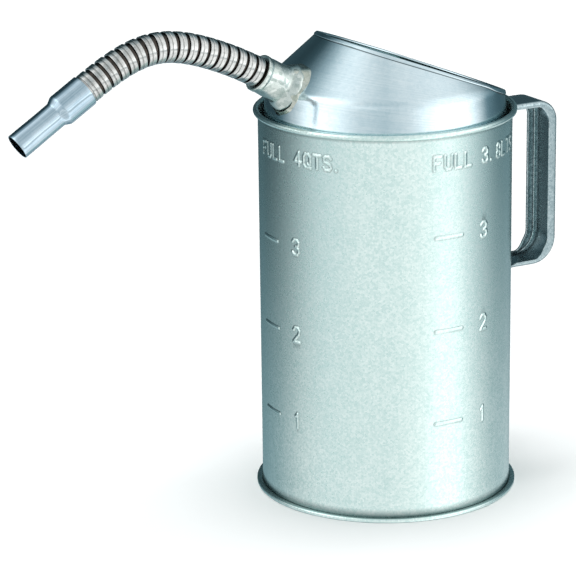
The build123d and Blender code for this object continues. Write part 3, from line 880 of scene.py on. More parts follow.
@dataclass
class SpoutCollar:
    """Flared collar soldered on the hood, with the lumpy solder around its foot."""

    hood: Hood
    origin: Vector
    angle_deg: float = 30.5
    mouth_radius: float = 10.75
    foot_radius: float = 11.4
    flare_radius: float = 14.5
    straight: float = 18.0
    flare: float = 4.0
    hidden_end: float = 5.0
    set_back: float = 0.3
    bore: float = 9.15
    solder_reach: float = 17.2

    def place(self) -> Matrix:
        """Frame of the collar's axis, out of its mouth.

        Returns:
            The matrix of the frame, in metres.
        """
        slope = math.radians(self.angle_deg)
        return axis_place(self.origin, Vector((-math.cos(slope), 0, math.sin(slope))))

    def build_collar(self) -> bpy.types.Object:
        """Build the collar with a rounded lip, a soft flare and slight hammer marks.

        Returns:
            The collar.
        """
        mouth = -self.set_back
        flare = mouth - self.straight
        foot = flare - self.flare
        end = foot - self.hidden_end
        outline = [(self.bore, end), (self.flare_radius - 0.5, end), (self.flare_radius, foot - 1.5)]
        blend = np.linspace(0, 1, 10)
        outline += [(self.flare_radius + (self.foot_radius - self.flare_radius) * float(smooth(t)),
                     foot + (self.flare + 2) * float(t)) for t in blend]
        outline += [(self.mouth_radius + 0.15, mouth - 3.2), (self.mouth_radius + 0.45, mouth - 2.4),
                    (self.mouth_radius + 0.45, mouth - 0.9)]
        outline += arc((self.mouth_radius - 0.15, mouth - 0.6), 0.6, 0, 90, 6)
        outline += [(self.bore, mouth - 0.25), (self.bore, mouth - 8)]
        dense = densify(outline, 0.8, True)
        grid = lathe(dense, 96)
        radial = np.hypot(grid[..., 0], grid[..., 1])
        away = np.array(dense)[:, :1] > self.bore + 0.3
        bumps = ripple(31, 8, grid[..., 0] / 7, grid[..., 1] / 7, grid[..., 2] / 8)
        depth = smooth((mouth - 3.0 - grid[..., 2]) / 6)
        scale = 1 + np.where(away, (0.28 * bumps * depth) / radial, 0)
        grid[..., :2] *= scale[..., None]
        collar = grid_object("spout_collar", grid, True, sharp_deg=55)
        collar.data.transform(self.place())
        return collar

    def build_solder(self) -> bpy.types.Object:
        """Build the solder fillet from the flare out onto the hood's surface.

        Returns:
            The solder.
        """
        place = self.place()
        turn_matrix = np.array(place.to_3x3())
        start = np.array(place.translation) / MM
        turns, steps = 120, 18
        phi = np.linspace(0, 2 * math.pi, turns, endpoint=False)
        lump = ripple(41, 9, 2.4 * np.cos(phi), 2.4 * np.sin(phi))
        reach = self.solder_reach + 0.9 * lump
        foot = -self.set_back - self.straight - self.flare
        top = foot + self.flare * 0.9 + 1.4 * lump
        climb = top - self.drop_to_hood(self.foot_radius + 0 * phi, phi, turn_matrix, start)
        rows = []
        for k in range(steps + 1):
            t = k / steps
            rho = self.foot_radius + 0.1 + (reach - self.foot_radius) * t
            base = self.drop_to_hood(rho, phi, turn_matrix, start)
            height = base + climb * (1 - t) ** 1.6 * (1 + 0.5 * math.sin(math.pi * t))
            rough = 0.35 * ripple(43, 8, rho * np.cos(phi) / 3.4, rho * np.sin(phi) / 3.4)
            height = np.maximum(height + rough * math.sin(math.pi * t) - 0.5 * t ** 3, base - 0.5)
            rows.append(polar(rho, phi, height))
        under = rows[-1] - np.array([0, 0, 0.6])
        inside = polar(self.foot_radius - 0.6, phi, rows[0][:, 2] - 2.5)
        grid = np.array(rows + [under, inside])
        solder = grid_object("collar_solder_fillet", grid, True, sharp_deg=60)
        solder.data.transform(place)
        return solder

    def drop_to_hood(self, rho: np.ndarray, phi: np.ndarray, turn: np.ndarray,
                     start: np.ndarray) -> np.ndarray:
        """Distance along the collar's axis at which lines beside it meet the hood.

        Args:
            rho: distance from the axis.
            phi: angle about the axis.
            turn: rotation of the collar's frame.
            start: origin of the collar's frame in millimetres.

        Returns:
            Local height of each line's meeting point.
        """
        low, high = np.full(phi.shape, -60.0), np.full(phi.shape, 5.0)
        for _ in range(40):
            middle = (low + high) / 2
            outside = self.hood.outside_of(polar(rho, phi, middle) @ turn.T + start) > 0
            high, low = np.where(outside, middle, high), np.where(outside, low, middle)
        return (low + high) / 2

    def dress(self, finishes: dict[str, bpy.types.Material]) -> list[bpy.types.Object]:
        """Build the collar's pieces, give them their finishes and put them on the can.

        Args:
            finishes: the materials by key.

        Returns:
            The pieces that were built.
        """
        collar, solder = self.build_collar(), self.build_solder()
        collar.data.materials.append(finishes["collar"])
        solder.data.materials.append(finishes["solder"])
        for piece, node, slot in ((collar, "spout_socket", "socket_casting"),
                                  (solder, "socket_solder", "socket_solder")):
            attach(piece, "can")
            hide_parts(node)
        return [collar, solder]


@dataclass
class WoundHose:
    """Strip-wound hose: one turned ring for each turn, on its own body."""

    stations: list[tuple[Vector, Vector]]
    pitch: float = 6.55
    gap: float = 1.8
    crest: float = 9.1
    strip: float = 0.8
    bore: float = 6.4
    neck_radius: float = 7.45
    floor_radius: float = 7.85
    neck_reach: float = 2.6
    tail: float = 9.0
    segments: int = 72
    edge_round: float = 0.34
    line_depth: float = 0.38
    # Depth below the crest at which the painted shade in the grooves is full.
    groove_dirt: float = 1.2
    dent: float = 0.12

    def turn_outline(self, tail: float = 0.0) -> list[tuple[float, float]]:
        """Section of one turn: hooked neck, side wall and a crest pressed with one fine line.

        Args:
            tail: how far past the crest the last turn runs on into the nozzle.

        Returns:
            Closed (radius, along) section in millimetres.
        """
        low, high = self.gap / 2, self.pitch - self.gap / 2
        neck, floor = self.neck_radius, self.floor_radius
        middle = (low + high) / 2 + 0.35
        r, c = self.edge_round, self.crest
        line = c - self.line_depth
        outline = [(self.bore, -self.neck_reach), (neck + 0.25, -self.neck_reach),
                   (neck + 0.25, -self.neck_reach + 0.4), (neck, -self.neck_reach + 0.8),
                   (neck, -1.2), (floor, -0.9), (floor, low)]
        outline += arc((c - r, low + r), r, -90, 0, 5)
        outline += [(c, middle - 0.5), (line, middle - 0.25), (line, middle + 0.15), (c - 0.04, middle + 0.4)]
        outline += arc((c - 0.04 - r, high - r), r, 0, 90, 5)
        if tail:
            outline += [(c - 0.35, high + 0.1), (c - 0.35, high + tail), (c - self.strip - 0.3, high + tail)]
            return outline + [(c - self.strip - 0.3, low + self.strip), (self.bore, low + self.strip)]
        outline += [(c - self.strip, high), (c - self.strip, low + self.strip), (self.bore, low + self.strip)]
        return outline

    def tree(self, finish: bpy.types.Material) -> bpy.types.NodeTree:
        """Geometry Nodes tree that turns a section about Z and paints shade by how deep each point lies.

        Args:
            finish: the material of the strip.

        Returns:
            The tree. Its inputs are the section, its path radius, the crest radius, the depth of full painted
            shade, the size of the dents, a seed and the segments.
        """
        tree = bpy.data.node_groups.new("wound_turn", "GeometryNodeTree")
        face = tree.interface
        face.new_socket("Section", in_out="INPUT", socket_type="NodeSocketGeometry")
        for name in ("Path radius", "Crest radius", "Full shade depth", "Dent", "Seed"):
            face.new_socket(name, in_out="INPUT", socket_type="NodeSocketFloat")
        face.new_socket("Segments", in_out="INPUT", socket_type="NodeSocketInt")
        face.new_socket("Geometry", in_out="OUTPUT", socket_type="NodeSocketGeometry")
        given = add_node(tree, "NodeGroupInput").outputs
        section = add_node(tree, "GeometryNodeMeshToCurve", links={"Mesh": given["Section"]})
        circle = add_node(tree, "GeometryNodeCurvePrimitiveCircle", links={
            "Resolution": given["Segments"], "Radius": given["Path radius"]})
        level = add_node(tree, "GeometryNodeSetCurveNormal", {"mode": "Z_UP"},
                         {"Curve": circle.outputs["Curve"]})
        turned = add_node(tree, "GeometryNodeCurveToMesh", links={
            "Curve": level.outputs["Curve"], "Profile Curve": section.outputs["Curve"]})
        place = add_node(tree, "GeometryNodeInputPosition").outputs["Position"]
        split = add_node(tree, "ShaderNodeSeparateXYZ", links={"Vector": place}).outputs
        flat = add_node(tree, "ShaderNodeCombineXYZ", links={"X": split["X"], "Y": split["Y"]})
        radius = add_node(tree, "ShaderNodeVectorMath", {"operation": "LENGTH"}, {0: flat.outputs["Vector"]})
        # Painted shade: the deeper below the crest, the darker, full at the given depth.
        depth = maths(tree, "SUBTRACT", given["Crest radius"], radius.outputs["Value"])
        painted_shade = add_node(tree, "ShaderNodeMath", {"operation": "DIVIDE", "use_clamp": True}, {
            0: depth, 1: given["Full shade depth"]})
        marked = add_node(tree, "GeometryNodeStoreNamedAttribute", {"inputs": {"Name": "painted_shade"}}, {
            "Geometry": turned.outputs["Mesh"], "Value": painted_shade.outputs["Value"]})
        shift = add_node(tree, "ShaderNodeCombineXYZ", links={"Z": given["Seed"]})
        moved = add_node(tree, "ShaderNodeVectorMath", {"operation": "ADD"}, {
            0: place, 1: shift.outputs["Vector"]})
        wave = add_node(tree, "ShaderNodeTexNoise", {"inputs": {"Scale": 160.0, "Detail": 2.0}},
                        {"Vector": moved.outputs["Vector"]})
        swing = maths(tree, "SUBTRACT", wave.outputs["Fac"], 1.0)
        size = maths(tree, "MULTIPLY", swing, given["Dent"])
        outward = add_node(tree, "ShaderNodeVectorMath", {"operation": "NORMALIZE"},
                           {0: flat.outputs["Vector"]})
        push = add_node(tree, "ShaderNodeVectorMath", {"operation": "SCALE"}, {
            0: outward.outputs["Vector"], "Scale": size})
        bent = add_node(tree, "GeometryNodeSetPosition", links={
            "Geometry": marked.outputs["Geometry"], "Offset": push.outputs["Vector"]})
        close_tree(tree, bent.outputs["Geometry"], finish)
        return tree

    def build_turn(self, name: str, tree: bpy.types.NodeTree, seed: float,
                   outline: list[tuple[float, float]], place: Matrix) -> bpy.types.Object:
        """Run the tree once and keep its result as a plain mesh.

        Args:
            name: the piece's name.
            tree: the Geometry Nodes tree.
            seed: shifts the dents.
            outline: closed (radius, along) section in millimetres.
            place: frame of the turn.

        Returns:
            The finished turn.
        """
        path = self.crest
        section = bpy.data.meshes.new(name + "_section")
        corners = [((r - path) * MM, -a * MM, 0) for r, a in outline]
        edges = [(k, (k + 1) % len(corners)) for k in range(len(corners))]
        section.from_pydata(corners, edges, [])
        values = {"Path radius": path * MM, "Crest radius": self.crest * MM,
                  "Full shade depth": self.groove_dirt * MM, "Dent": self.dent * MM, "Seed": seed,
                  "Segments": self.segments}
        mesh = run_tree(name, section, tree, values)
        mesh.transform(place)
        return finished_object(name, mesh, 35)

    def dress(self, finishes: dict[str, bpy.types.Material]) -> list[bpy.types.Object]:
        """Build every turn on its own body.

        Args:
            finishes: the materials by key.

        Returns:
            The pieces that were built.
        """
        tree = self.tree(finishes["strip"])
        turns = []
        for number, (origin, direction) in enumerate(self.stations, 1):
            outline = self.turn_outline(self.tail if number == len(self.stations) else 0.0)
            turn = self.build_turn(f"wound_turn_{number:02d}", tree, number * 0.37, outline,
                                   axis_place(origin, direction))
            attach(turn, f"turn_{number:02d}")
            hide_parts(f"hose_turn_{number:02d}")
            turns.append(turn)
        return turns


@dataclass
class RootCuff:
    """End of the hose that is soldered in the collar: only its lip shows."""

    collar: SpoutCollar
    outer: float = 9.1
    strip: float = 0.8
    length: float = 14.0
    lip: float = -0.9
    # Share of painted shade laid evenly over the lip, which sits in the collar's mouth.
    dirt: float = 0.25

    def dress(self, finishes: dict[str, bpy.types.Material]) -> list[bpy.types.Object]:
        """Build the cuff and put it on the can.

        Args:
            finishes: the materials by key.

        Returns:
            The pieces that were built.
        """
        lip = self.lip
        outline = [(self.outer - self.strip, -self.length), (self.outer, -self.length),
                   (self.outer, lip - 0.35)]
        outline += arc((self.outer - 0.35, lip - 0.35), 0.35, 0, 90, 5)
        outline += [(self.outer - self.strip, lip)]
        cuff = lathe_object("hose_root_lip", densify(outline, 2.0, True), 96, self.collar.place())
        # Painted shade, even over the whole lip.
        attribute = cuff.data.attributes.new("painted_shade", "FLOAT", "POINT")
        attribute.data.foreach_set("value", [self.dirt] * len(cuff.data.vertices))
        cuff.data.materials.append(finishes["strip"])
        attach(cuff, "can")
        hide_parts("hose_root_cuff")
        return [cuff]


@dataclass
class Nozzle:
    """Reduced tube at the hose's end: sleeve, rounded shoulder and straight pouring tube."""

    origin: Vector
    direction: Vector
    sleeve_radius: float = 9.65
    tube_radius: float = 7.7
    wall: float = 0.5
    start: float = 0.3
    sleeve: float = 17.3
    shoulder: float = 5.0
    tube: float = 28.2
    dent: float = 0.10
    segments: int = 96

    def build(self) -> bpy.types.Object:
        """Build the nozzle with soft shoulders, a rolled-in sleeve end and a plain cut tip.

        Returns:
            The piece.
        """
        a0, a1 = self.start, self.start + self.sleeve
        a2 = a1 + self.shoulder
        a3 = a2 + self.tube
        step = self.sleeve_radius - self.tube_radius
        ramp = np.linspace(0, 1, 14)
        slope = [(self.sleeve_radius - step * float(smooth(t)), a1 + self.shoulder * float(t)) for t in ramp]
        outside = [(self.sleeve_radius - 0.5, a0)] + arc((self.sleeve_radius - 0.3, a0 + 0.3), 0.3, -90, 0, 4)
        outside += slope + [(self.tube_radius, a3 - 0.25), (self.tube_radius - 0.1, a3 - 0.05),
                            (self.tube_radius - 0.25, a3)]
        inside = [(self.tube_radius - self.wall, a3 - 0.1)]
        inside += [(r - self.wall, a) for r, a in reversed(slope)] + [(self.sleeve_radius - 0.5, a0 + 0.3)]
        dense = densify(outside + inside, 1.5, True)
        grid = lathe(dense, self.segments)
        waves = ripple(51, 6, grid[..., 0] / 9, grid[..., 1] / 9, grid[..., 2] / 16)
        press = self.dent * waves - self.dent
        radial = np.hypot(grid[..., 0], grid[..., 1])
        grid[..., :2] *= (1 + press / radial)[..., None]
        along = run_lengths(np.array(dense + dense[:1]))
        around = np.linspace(0, 2 * math.pi * self.sleeve_radius, self.segments + 1)
        nozzle = grid_object("pouring_nozzle", grid, True, (around, along), 40)
        nozzle.data.transform(axis_place(self.origin, self.direction))
        return nozzle

    def dress(self, finishes: dict[str, bpy.types.Material], body: str) -> list[bpy.types.Object]:
        """Build the nozzle and put it on the last turn's body.

        Args:
            finishes: the materials by key.
            body: the rigid body that it moves with.

        Returns:
            The pieces that were built.
        """
        nozzle = self.build()
        nozzle.data.materials.append(finishes["nozzle"])
        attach(nozzle, body)
        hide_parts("nozzle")
        return [nozzle]


# --- handle ------------------------------------------------------------------------------------

# Share of its height that the flat side of a rivet's head keeps.
UNDERSIDE_SHARE = 0.03


@dataclass
class StrapHandle:
    """Pressed channel strap: web, two hemmed flanges, and a curved foot riveted to the wall at each end."""

    wall: float = 75.65
    reach: float = 115.5
    top: float = 226.5
    bottom: float = 124.0
    width: float = 24.2
    sheet: float = 0.8
    top_bend: float = 13.0
    bottom_bend: float = 16.0
    foot_bend: float = 2.6
    upper_foot: float = 29.0
    lower_foot: float = 17.2
    grip_depth: float = 6.5
    corner: float = 1.9
    hem: float = 0.75
    grip_from: float = 101.0
    upper_depth: float = 3.6
    lower_depth: float = 3.0
    rivet_inset: float = 6.0

    def path(self) -> np.ndarray:
        """Outer face of the web in the XZ plane from the upper foot's end to the lower foot's end.

        Returns:
            (x, z) points in millimetres.
        """
        b = self.foot_bend
        out = self.wall + self.sheet
        points = [(self.wall, self.top - self.upper_foot), (self.wall, self.top - b)]
        points += arc((self.wall + b, self.top - b), b, 180, 90, 8)[1:]
        points += arc((self.reach - self.top_bend, self.top - self.top_bend), self.top_bend, 90, 0, 18)
        points += arc((self.reach - self.bottom_bend, self.bottom + self.bottom_bend), self.bottom_bend,
                      0, -90, 20)
        points += arc((out + b, self.bottom - b), b, 90, 180, 8)
        points += [(out, self.bottom + self.sheet - self.lower_foot)]
        return np.array(densify(points, 1.6, False))

    def flange_depth(self, x: np.ndarray, z: np.ndarray) -> np.ndarray:
        """Depth of the side flanges: full in the grip, shallow on the straps and none at the feet.

        Args:
            x: distance from the can's axis along the path.
            z: height along the path.

        Returns:
            Depth at each point in millimetres.
        """
        grip = smooth((x - self.grip_from) / 12)
        strap = np.where(z > (self.top + self.bottom) / 2, self.upper_depth, self.lower_depth)
        start = smooth((x - self.wall - 3.0) / 9)
        return (strap + (self.grip_depth - strap) * grip) * start

    def section(self, depth: float) -> list[tuple[float, float]]:
        """Closed section at one place.

        Args:
            depth: depth of the side flanges there.

        Returns:
            (across, inwards from the web's outer face) points.
        """
        half, t = self.width / 2, self.sheet
        r = min(self.corner, 0.25 + depth)
        inner_r = max(r - t, 0.12)
        reach = max(depth, r + 0.01)
        fold = self.hem * smooth(np.array((depth - 1.2) / 1.5)).item()
        side = [(0.0, 0.0)] + [(half - r + r * math.sin(a), r - r * math.cos(a))
                               for a in np.linspace(0, math.pi / 2, 7)]
        side += [(half, r + (reach - r) * k) for k in (0.34, 0.67)]
        side += [(half, reach - 0.4), (half - 0.12, reach - 0.12), (half - 0.4, reach)]
        side += [(half - t - fold * 0.5, reach), (half - t - fold, reach - 0.25 * (1 + fold)),
                 (half - t - fold, reach - 0.6 - fold), (half - t - fold * 0.4, reach - 0.9 - fold * 1.5)]
        side += [(half - t, max(reach - 1.2 - fold * 1.8, t + inner_r * 0.9))]
        side += [(half - t - inner_r + inner_r * math.cos(a), t + inner_r - inner_r * math.sin(a))
                 for a in np.linspace(0, math.pi / 2, 5)]
        side += [(0.0, t)]
        mirrored = [(-y, n) for y, n in reversed(side[1:-1])]
        return side + mirrored

    def build(self) -> bpy.types.Object:
        """Sweep the changing section along the path and curve the feet to the wall.

        Returns:
            The piece.
        """
        path = self.path()
        ahead = np.gradient(path, axis=0)
        ahead /= np.linalg.norm(ahead, axis=1)[:, None]
        outward = np.stack([-ahead[:, 1], ahead[:, 0]], -1)
        depths = self.flange_depth(path[:, 0], path[:, 1])
        hug = 1 - smooth((path[:, 0] - self.wall - 1.5) / 7)
        rows = []
        for (x, z), (nx, nz), depth, close in zip(path, outward, depths, hug):
            ring = []
            for y, inward in self.section(float(depth)):
                sag = (self.wall - math.sqrt(self.wall ** 2 - y * y)) * close
                ring.append((x - nx * inward - sag, y, z - nz * inward))
            rows.append(ring)
        first, last = np.mean(rows[0], 0), np.mean(rows[-1], 0)
        first[0] = rows[0][0][0] + 0.4
        last[0] = rows[-1][0][0] - 0.4
        points = np.array([[first] * len(rows[0])] + rows + [[last] * len(rows[0])])
        return grid_object("strap_handle", points, False, sharp_deg=42)

    def rivet_tree(self, finish: bpy.types.Material) -> bpy.types.NodeTree:
        """Geometry Nodes tree for a pair of round-head rivets side by side on the wall.

        Args:
            finish: the rivets' material.

        Returns:
            The tree. Its inputs are the head's radius and height, the shank's radius, the spacing, the
            radius of the face that the heads sit on, the height above the floor and the grip length.
        """
        tree = bpy.data.node_groups.new("rivet_pair", "GeometryNodeTree")
        face = tree.interface
        for name in ("Head radius", "Head height", "Shank radius", "Spacing", "Face radius", "Level", "Grip"):
            face.new_socket(name, in_out="INPUT", socket_type="NodeSocketFloat")
        face.new_socket("Geometry", in_out="OUTPUT", socket_type="NodeSocketGeometry")
        given = add_node(tree, "NodeGroupInput").outputs
        ball = add_node(tree, "GeometryNodeMeshUVSphere", {"inputs": {"Segments": 28, "Rings": 14}},
                        {"Radius": given["Head radius"]})
        squash = maths(tree, "DIVIDE", given["Head height"], given["Head radius"])
        spot = add_node(tree, "GeometryNodeInputPosition").outputs["Position"]
        split = add_node(tree, "ShaderNodeSeparateXYZ", links={"Vector": spot}).outputs
        above = maths(tree, "MAXIMUM", split["Z"], 0.0)
        below = maths(tree, "MINIMUM", split["Z"], 0.0)
        crown = maths(tree, "MULTIPLY", above, squash)
        seat = maths(tree, "MULTIPLY_ADD", below, UNDERSIDE_SHARE, crown)
        domed_spot = add_node(tree, "ShaderNodeCombineXYZ", links={
            "X": split["X"], "Y": split["Y"], "Z": seat})
        dome = add_node(tree, "GeometryNodeSetPosition", links={
            "Geometry": ball.outputs["Mesh"], "Position": domed_spot.outputs["Vector"]})
        shank = add_node(tree, "GeometryNodeMeshCylinder", {"inputs": {"Vertices": 24}}, {
            "Radius": given["Shank radius"], "Depth": given["Grip"]})
        half_grip = maths(tree, "MULTIPLY", given["Grip"], -0.5)
        shank_shift = add_node(tree, "ShaderNodeCombineXYZ", links={"Z": half_grip})
        shank_set = add_node(tree, "GeometryNodeTransform", links={
            "Geometry": shank.outputs["Mesh"], "Translation": shank_shift.outputs["Vector"]})
        tail_size = add_node(tree, "ShaderNodeCombineXYZ", {"inputs": {"X": 0.9, "Y": 0.9, "Z": -0.6}})
        tail_level = maths(tree, "MULTIPLY", given["Grip"], -1.0)
        tail_shift = add_node(tree, "ShaderNodeCombineXYZ", links={"Z": tail_level})
        tail = add_node(tree, "GeometryNodeTransform", links={
            "Geometry": dome.outputs["Geometry"], "Translation": tail_shift.outputs["Vector"],
            "Scale": tail_size.outputs["Vector"]})
        tail_out = add_node(tree, "GeometryNodeFlipFaces", links={"Mesh": tail.outputs["Geometry"]})
        rivet = add_node(tree, "GeometryNodeJoinGeometry")
        for part in (dome.outputs["Geometry"], shank_set.outputs["Geometry"], tail_out.outputs["Mesh"]):
            tree.links.new(part, rivet.inputs[0])
        upright = add_node(tree, "GeometryNodeTransform", {"inputs": {"Rotation": (0, math.pi / 2, 0)}},
                           {"Geometry": rivet.outputs["Geometry"]})
        out_shift = add_node(tree, "ShaderNodeCombineXYZ", links={
            "X": given["Face radius"], "Z": given["Level"]})
        set_out = add_node(tree, "GeometryNodeTransform", links={
            "Geometry": upright.outputs["Geometry"], "Translation": out_shift.outputs["Vector"]})
        points = add_node(tree, "GeometryNodePoints", {"inputs": {"Count": 2}})
        index = add_node(tree, "GeometryNodeInputIndex").outputs["Index"]
        side = maths(tree, "SUBTRACT", index, 0.5)
        across = maths(tree, "MULTIPLY", side, given["Spacing"])
        lean = maths(tree, "ARCSINE", maths(tree, "DIVIDE", across, given["Face radius"]))
        turn = add_node(tree, "ShaderNodeCombineXYZ", links={"Z": lean})
        pair = add_node(tree, "GeometryNodeInstanceOnPoints", links={
            "Points": points.outputs["Points"], "Instance": set_out.outputs["Geometry"],
            "Rotation": turn.outputs["Vector"]})
        close_tree(tree, pair.outputs["Instances"], finish)
        return tree

    def build_rivets(self, name: str, tree: bpy.types.NodeTree, level: float) -> bpy.types.Object:
        """Run the rivet tree once and keep the result as a plain mesh.

        Args:
            name: the piece's name.
            tree: the Geometry Nodes tree.
            level: height of the rivets above the floor, in millimetres.

        Returns:
            The finished pair.
        """
        sizes = {"Head radius": 3.1, "Head height": 1.5, "Shank radius": 1.6, "Spacing": 13.0,
                 "Face radius": self.wall + self.sheet + 0.02, "Level": level, "Grip": 1.6}
        values = {key: size * MM for key, size in sizes.items()}
        mesh = run_tree(name, bpy.data.meshes.new(name + "_carrier"), tree, values)
        return finished_object(name, mesh, 40)

    def dress(self, finishes: dict[str, bpy.types.Material]) -> list[bpy.types.Object]:
        """Build the handle and its rivets and put them on the can.

        Args:
            finishes: the materials by key.

        Returns:
            The pieces that were built.
        """
        handle = self.build()
        handle.data.materials.append(finishes["strap"])
        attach(handle, "can")
        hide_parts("handle")
        tree = self.rivet_tree(finishes["rivet"])
        pieces = [handle]
        levels = {"upper": self.top - self.upper_foot + self.rivet_inset,
                  "lower": self.bottom - self.lower_foot + self.rivet_inset}
        for end, level in levels.items():
            rivets = self.build_rivets(f"{end}_foot_rivets", tree, level)
            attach(rivets, "can")
            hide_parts(f"handle_rivets_{end}")
            pieces.append(rivets)
        return pieces


# --- studio ------------------------------------------------------------------------------------

@dataclass(frozen=True)
class Studio:
    """Plain pale floor, soft surroundings, one wide sun lamp and one camera."""

    camera_mm: tuple[float, float, float] = (-874.9, -1456.1, 631.1)
    heading_deg: float = 31.0
    yaw: float = -0.0346
    pitch: float = 0.2913
    roll: float = -0.0121
    lens_mm: float = 183.45
    # Brightness of the surroundings at rising levels (sines of the elevation), each as pairs of degrees
    # around from the camera's side, + to its right, and brightness.
    levels: tuple[tuple[float, tuple[tuple[float, float], ...]], ...] = (
        (-0.34, ((-180, .35), (-150, .42), (-135, .52), (-116, .66), (-98, .84), (-82, 1.04), (-56, 1.08),
                 (-20, 1.0), (0, 1.0), (20, 1.12), (38, 1.36), (52, 1.8), (68, 1.75), (82, 1.38),
                 (98, 1.1), (116, .84), (135, .76), (150, .80), (180, .40))),
        (-0.26, ((-180, .12), (-150, .18), (-135, .10), (-116, .08), (-98, .14), (-82, .28), (-56, .76),
                 (-20, 1.18), (0, 1.22), (20, 1.22), (38, 1.2), (52, 1.3), (68, 1.15), (82, .74),
                 (98, .42), (116, .28), (135, .26), (150, .34), (180, .16))),
        (-0.18, ((-180, .08), (-135, .05), (-110, .05), (-90, .08), (-70, .28), (-50, .55), (-20, 1.1),
                 (0, 1.16), (20, 1.12), (40, .95), (60, .85), (80, .55), (98, .26), (116, .12),
                 (150, .14), (180, .10))),
        (-0.05, ((-180, .06), (-150, .12), (-128, .10), (-112, .28), (-92, .95), (-68, 2.1), (-48, 1.6),
                 (-25, .95), (0, .78), (22, 1.05), (42, 1.7), (62, 2.4), (80, 2.3), (96, 1.35), (112, .4),
                 (140, .18), (180, .15))),
        (0.36, ((-180, .05), (-150, .06), (-132, .08), (-115, .22), (-95, 1.1), (-60, 1.7), (-30, 1.35),
                (0, .95), (30, 1.1), (60, 1.7), (90, 1.5), (112, .75), (128, .22), (145, .08),
                (180, .10))),
        (0.70, ((-180, .10), (-150, .08), (-134, .12), (-112, .6), (-86, 2.5), (-60, 2.3), (-35, 1.15),
                (-10, .82), (15, .82), (40, 1.15), (75, 1.6), (105, 1.35), (125, .9), (145, .5),
                (180, .25))),
        (0.97, ((-180, .70), (-120, .80), (-80, 1.2), (-30, .96), (0, .88), (60, 1.05), (120, 1.05),
                (180, .70))))
    strength: float = 2.5
    floor_share: float = 0.22
    dim_tint: tuple[float, float, float] = (0.46, 0.90, 1.06)
    pale_from: float = 1.15
    lamp_power: float = 3.1
    lamp_spread_deg: float = 38.0
    lamp_from: tuple[float, float, float] = (0.0, 0.07, 1.0)

    def glow(self, brightness: float) -> tuple[float, float, float, float]:
        """Colour of a part of the surroundings: teal where it is dim, white where it is bright.

        Args:
            brightness: brightness of the part, about 1 for white.

        Returns:
            Linear red, green, blue and an alpha of one, to be multiplied by the strength.
        """
        pale = float(smooth(np.array(brightness / self.pale_from)))
        tint = [dim + (1 - dim) * pale for dim in self.dim_tint]
        return (*(brightness / self.strength * channel / max(self.dim_tint) for channel in tint), 1.0)

    def camera(self) -> None:
        """Place the camera."""
        cp, sp = math.cos(self.pitch), math.sin(self.pitch)
        forward = Vector((math.sin(self.yaw) * cp, math.cos(self.yaw) * cp, -sp))
        right = Vector((math.cos(self.yaw), -math.sin(self.yaw), 0))
        up = right.cross(forward)
        tilted_right = right * math.cos(self.roll) + up * math.sin(self.roll)
        tilted_up = up * math.cos(self.roll) - right * math.sin(self.roll)
        back_turn = Matrix.Rotation(-math.radians(self.heading_deg), 3, "Z")
        axes = Matrix((back_turn @ tilted_right, back_turn @ tilted_up, back_turn @ -forward)).transposed()
        data = bpy.data.cameras.new("studio_camera")
        data.lens, data.sensor_width = self.lens_mm, 36.0
        data.clip_start, data.clip_end = 0.05, 50.0
        camera = bpy.data.objects.new("studio_camera", data)
        bpy.context.scene.collection.objects.link(camera)
        camera.matrix_world = Matrix.Translation(Vector(self.camera_mm) * MM) @ axes.to_4x4()
        bpy.context.scene.camera = camera

    def floor(self) -> None:
        """Lay the pale floor."""
        mesh = bpy.data.meshes.new("studio_floor")
        mesh.from_pydata([(-6, -6, 0), (6, -6, 0), (6, 6, 0), (-6, 6, 0)], [], [(0, 1, 2, 3)])
        floor = bpy.data.objects.new("studio_floor", mesh)
        bpy.context.scene.collection.objects.link(floor)
        material = bpy.data.materials.new("matt_white_paper")
        material.use_nodes = True
        tree = material.node_tree
        tree.nodes.clear()
        shader = add_node(tree, "ShaderNodeBsdfDiffuse", {"inputs": {"Color": linear("#f3f5f5")}})
        add_node(tree, "ShaderNodeOutputMaterial", links={"Surface": shader.outputs["BSDF"]})
        mesh.materials.append(material)
        floor.visible_glossy = False

    def surroundings(self) -> None:
        """Light the scene by direction, with plain white where the camera sees past the object."""
        world = bpy.data.worlds.new("soft_studio")
        bpy.context.scene.world = world
        world.use_nodes = True
        tree = world.node_tree
        tree.nodes.clear()
        facing = add_node(tree, "ShaderNodeTexCoord").outputs["Generated"]
        turned = add_node(tree, "ShaderNodeVectorRotate", {"rotation_type": "Z_AXIS", "inputs": {
            "Angle": math.radians(self.heading_deg)}}, {"Vector": facing})
        split = add_node(tree, "ShaderNodeSeparateXYZ", links={"Vector": turned.outputs["Vector"]}).outputs
        around = maths(tree, "ARCTAN2", split["X"], maths(tree, "MULTIPLY", split["Y"], -1.0))
        share = add_node(tree, "ShaderNodeMapRange", {"inputs": {1: -math.pi, 2: math.pi}}, {"Value": around})
        colour, below = None, 0.0
        for level, ring in self.levels:
            band = self.ring(tree, ring, share.outputs["Result"])
            if colour is None:
                colour, below = band, level
                continue
            rise = add_node(tree, "ShaderNodeMapRange", {"inputs": {1: below, 2: level}},
                            {"Value": split["Z"]})
            colour = add_node(tree, "ShaderNodeMix", {"data_type": "RGBA"}, {
                0: rise.outputs["Result"], 6: colour, 7: band}).outputs[2]
            below = level
        rays = add_node(tree, "ShaderNodeLightPath").outputs
        power = add_node(tree, "ShaderNodeMapRange", {"inputs": {
            3: self.strength, 4: self.strength * self.floor_share}}, {"Value": rays["Is Diffuse Ray"]})
        soft = add_node(tree, "ShaderNodeBackground", links={
            "Color": colour, "Strength": power.outputs["Result"]})
        white = add_node(tree, "ShaderNodeBackground", {"inputs": {
            "Color": linear("#ffffff"), "Strength": 1.0}})
        mixed = add_node(tree, "ShaderNodeMixShader", links={
            0: rays["Is Camera Ray"], 1: soft.outputs["Background"], 2: white.outputs["Background"]})
        add_node(tree, "ShaderNodeOutputWorld", links={"Surface": mixed.outputs["Shader"]})

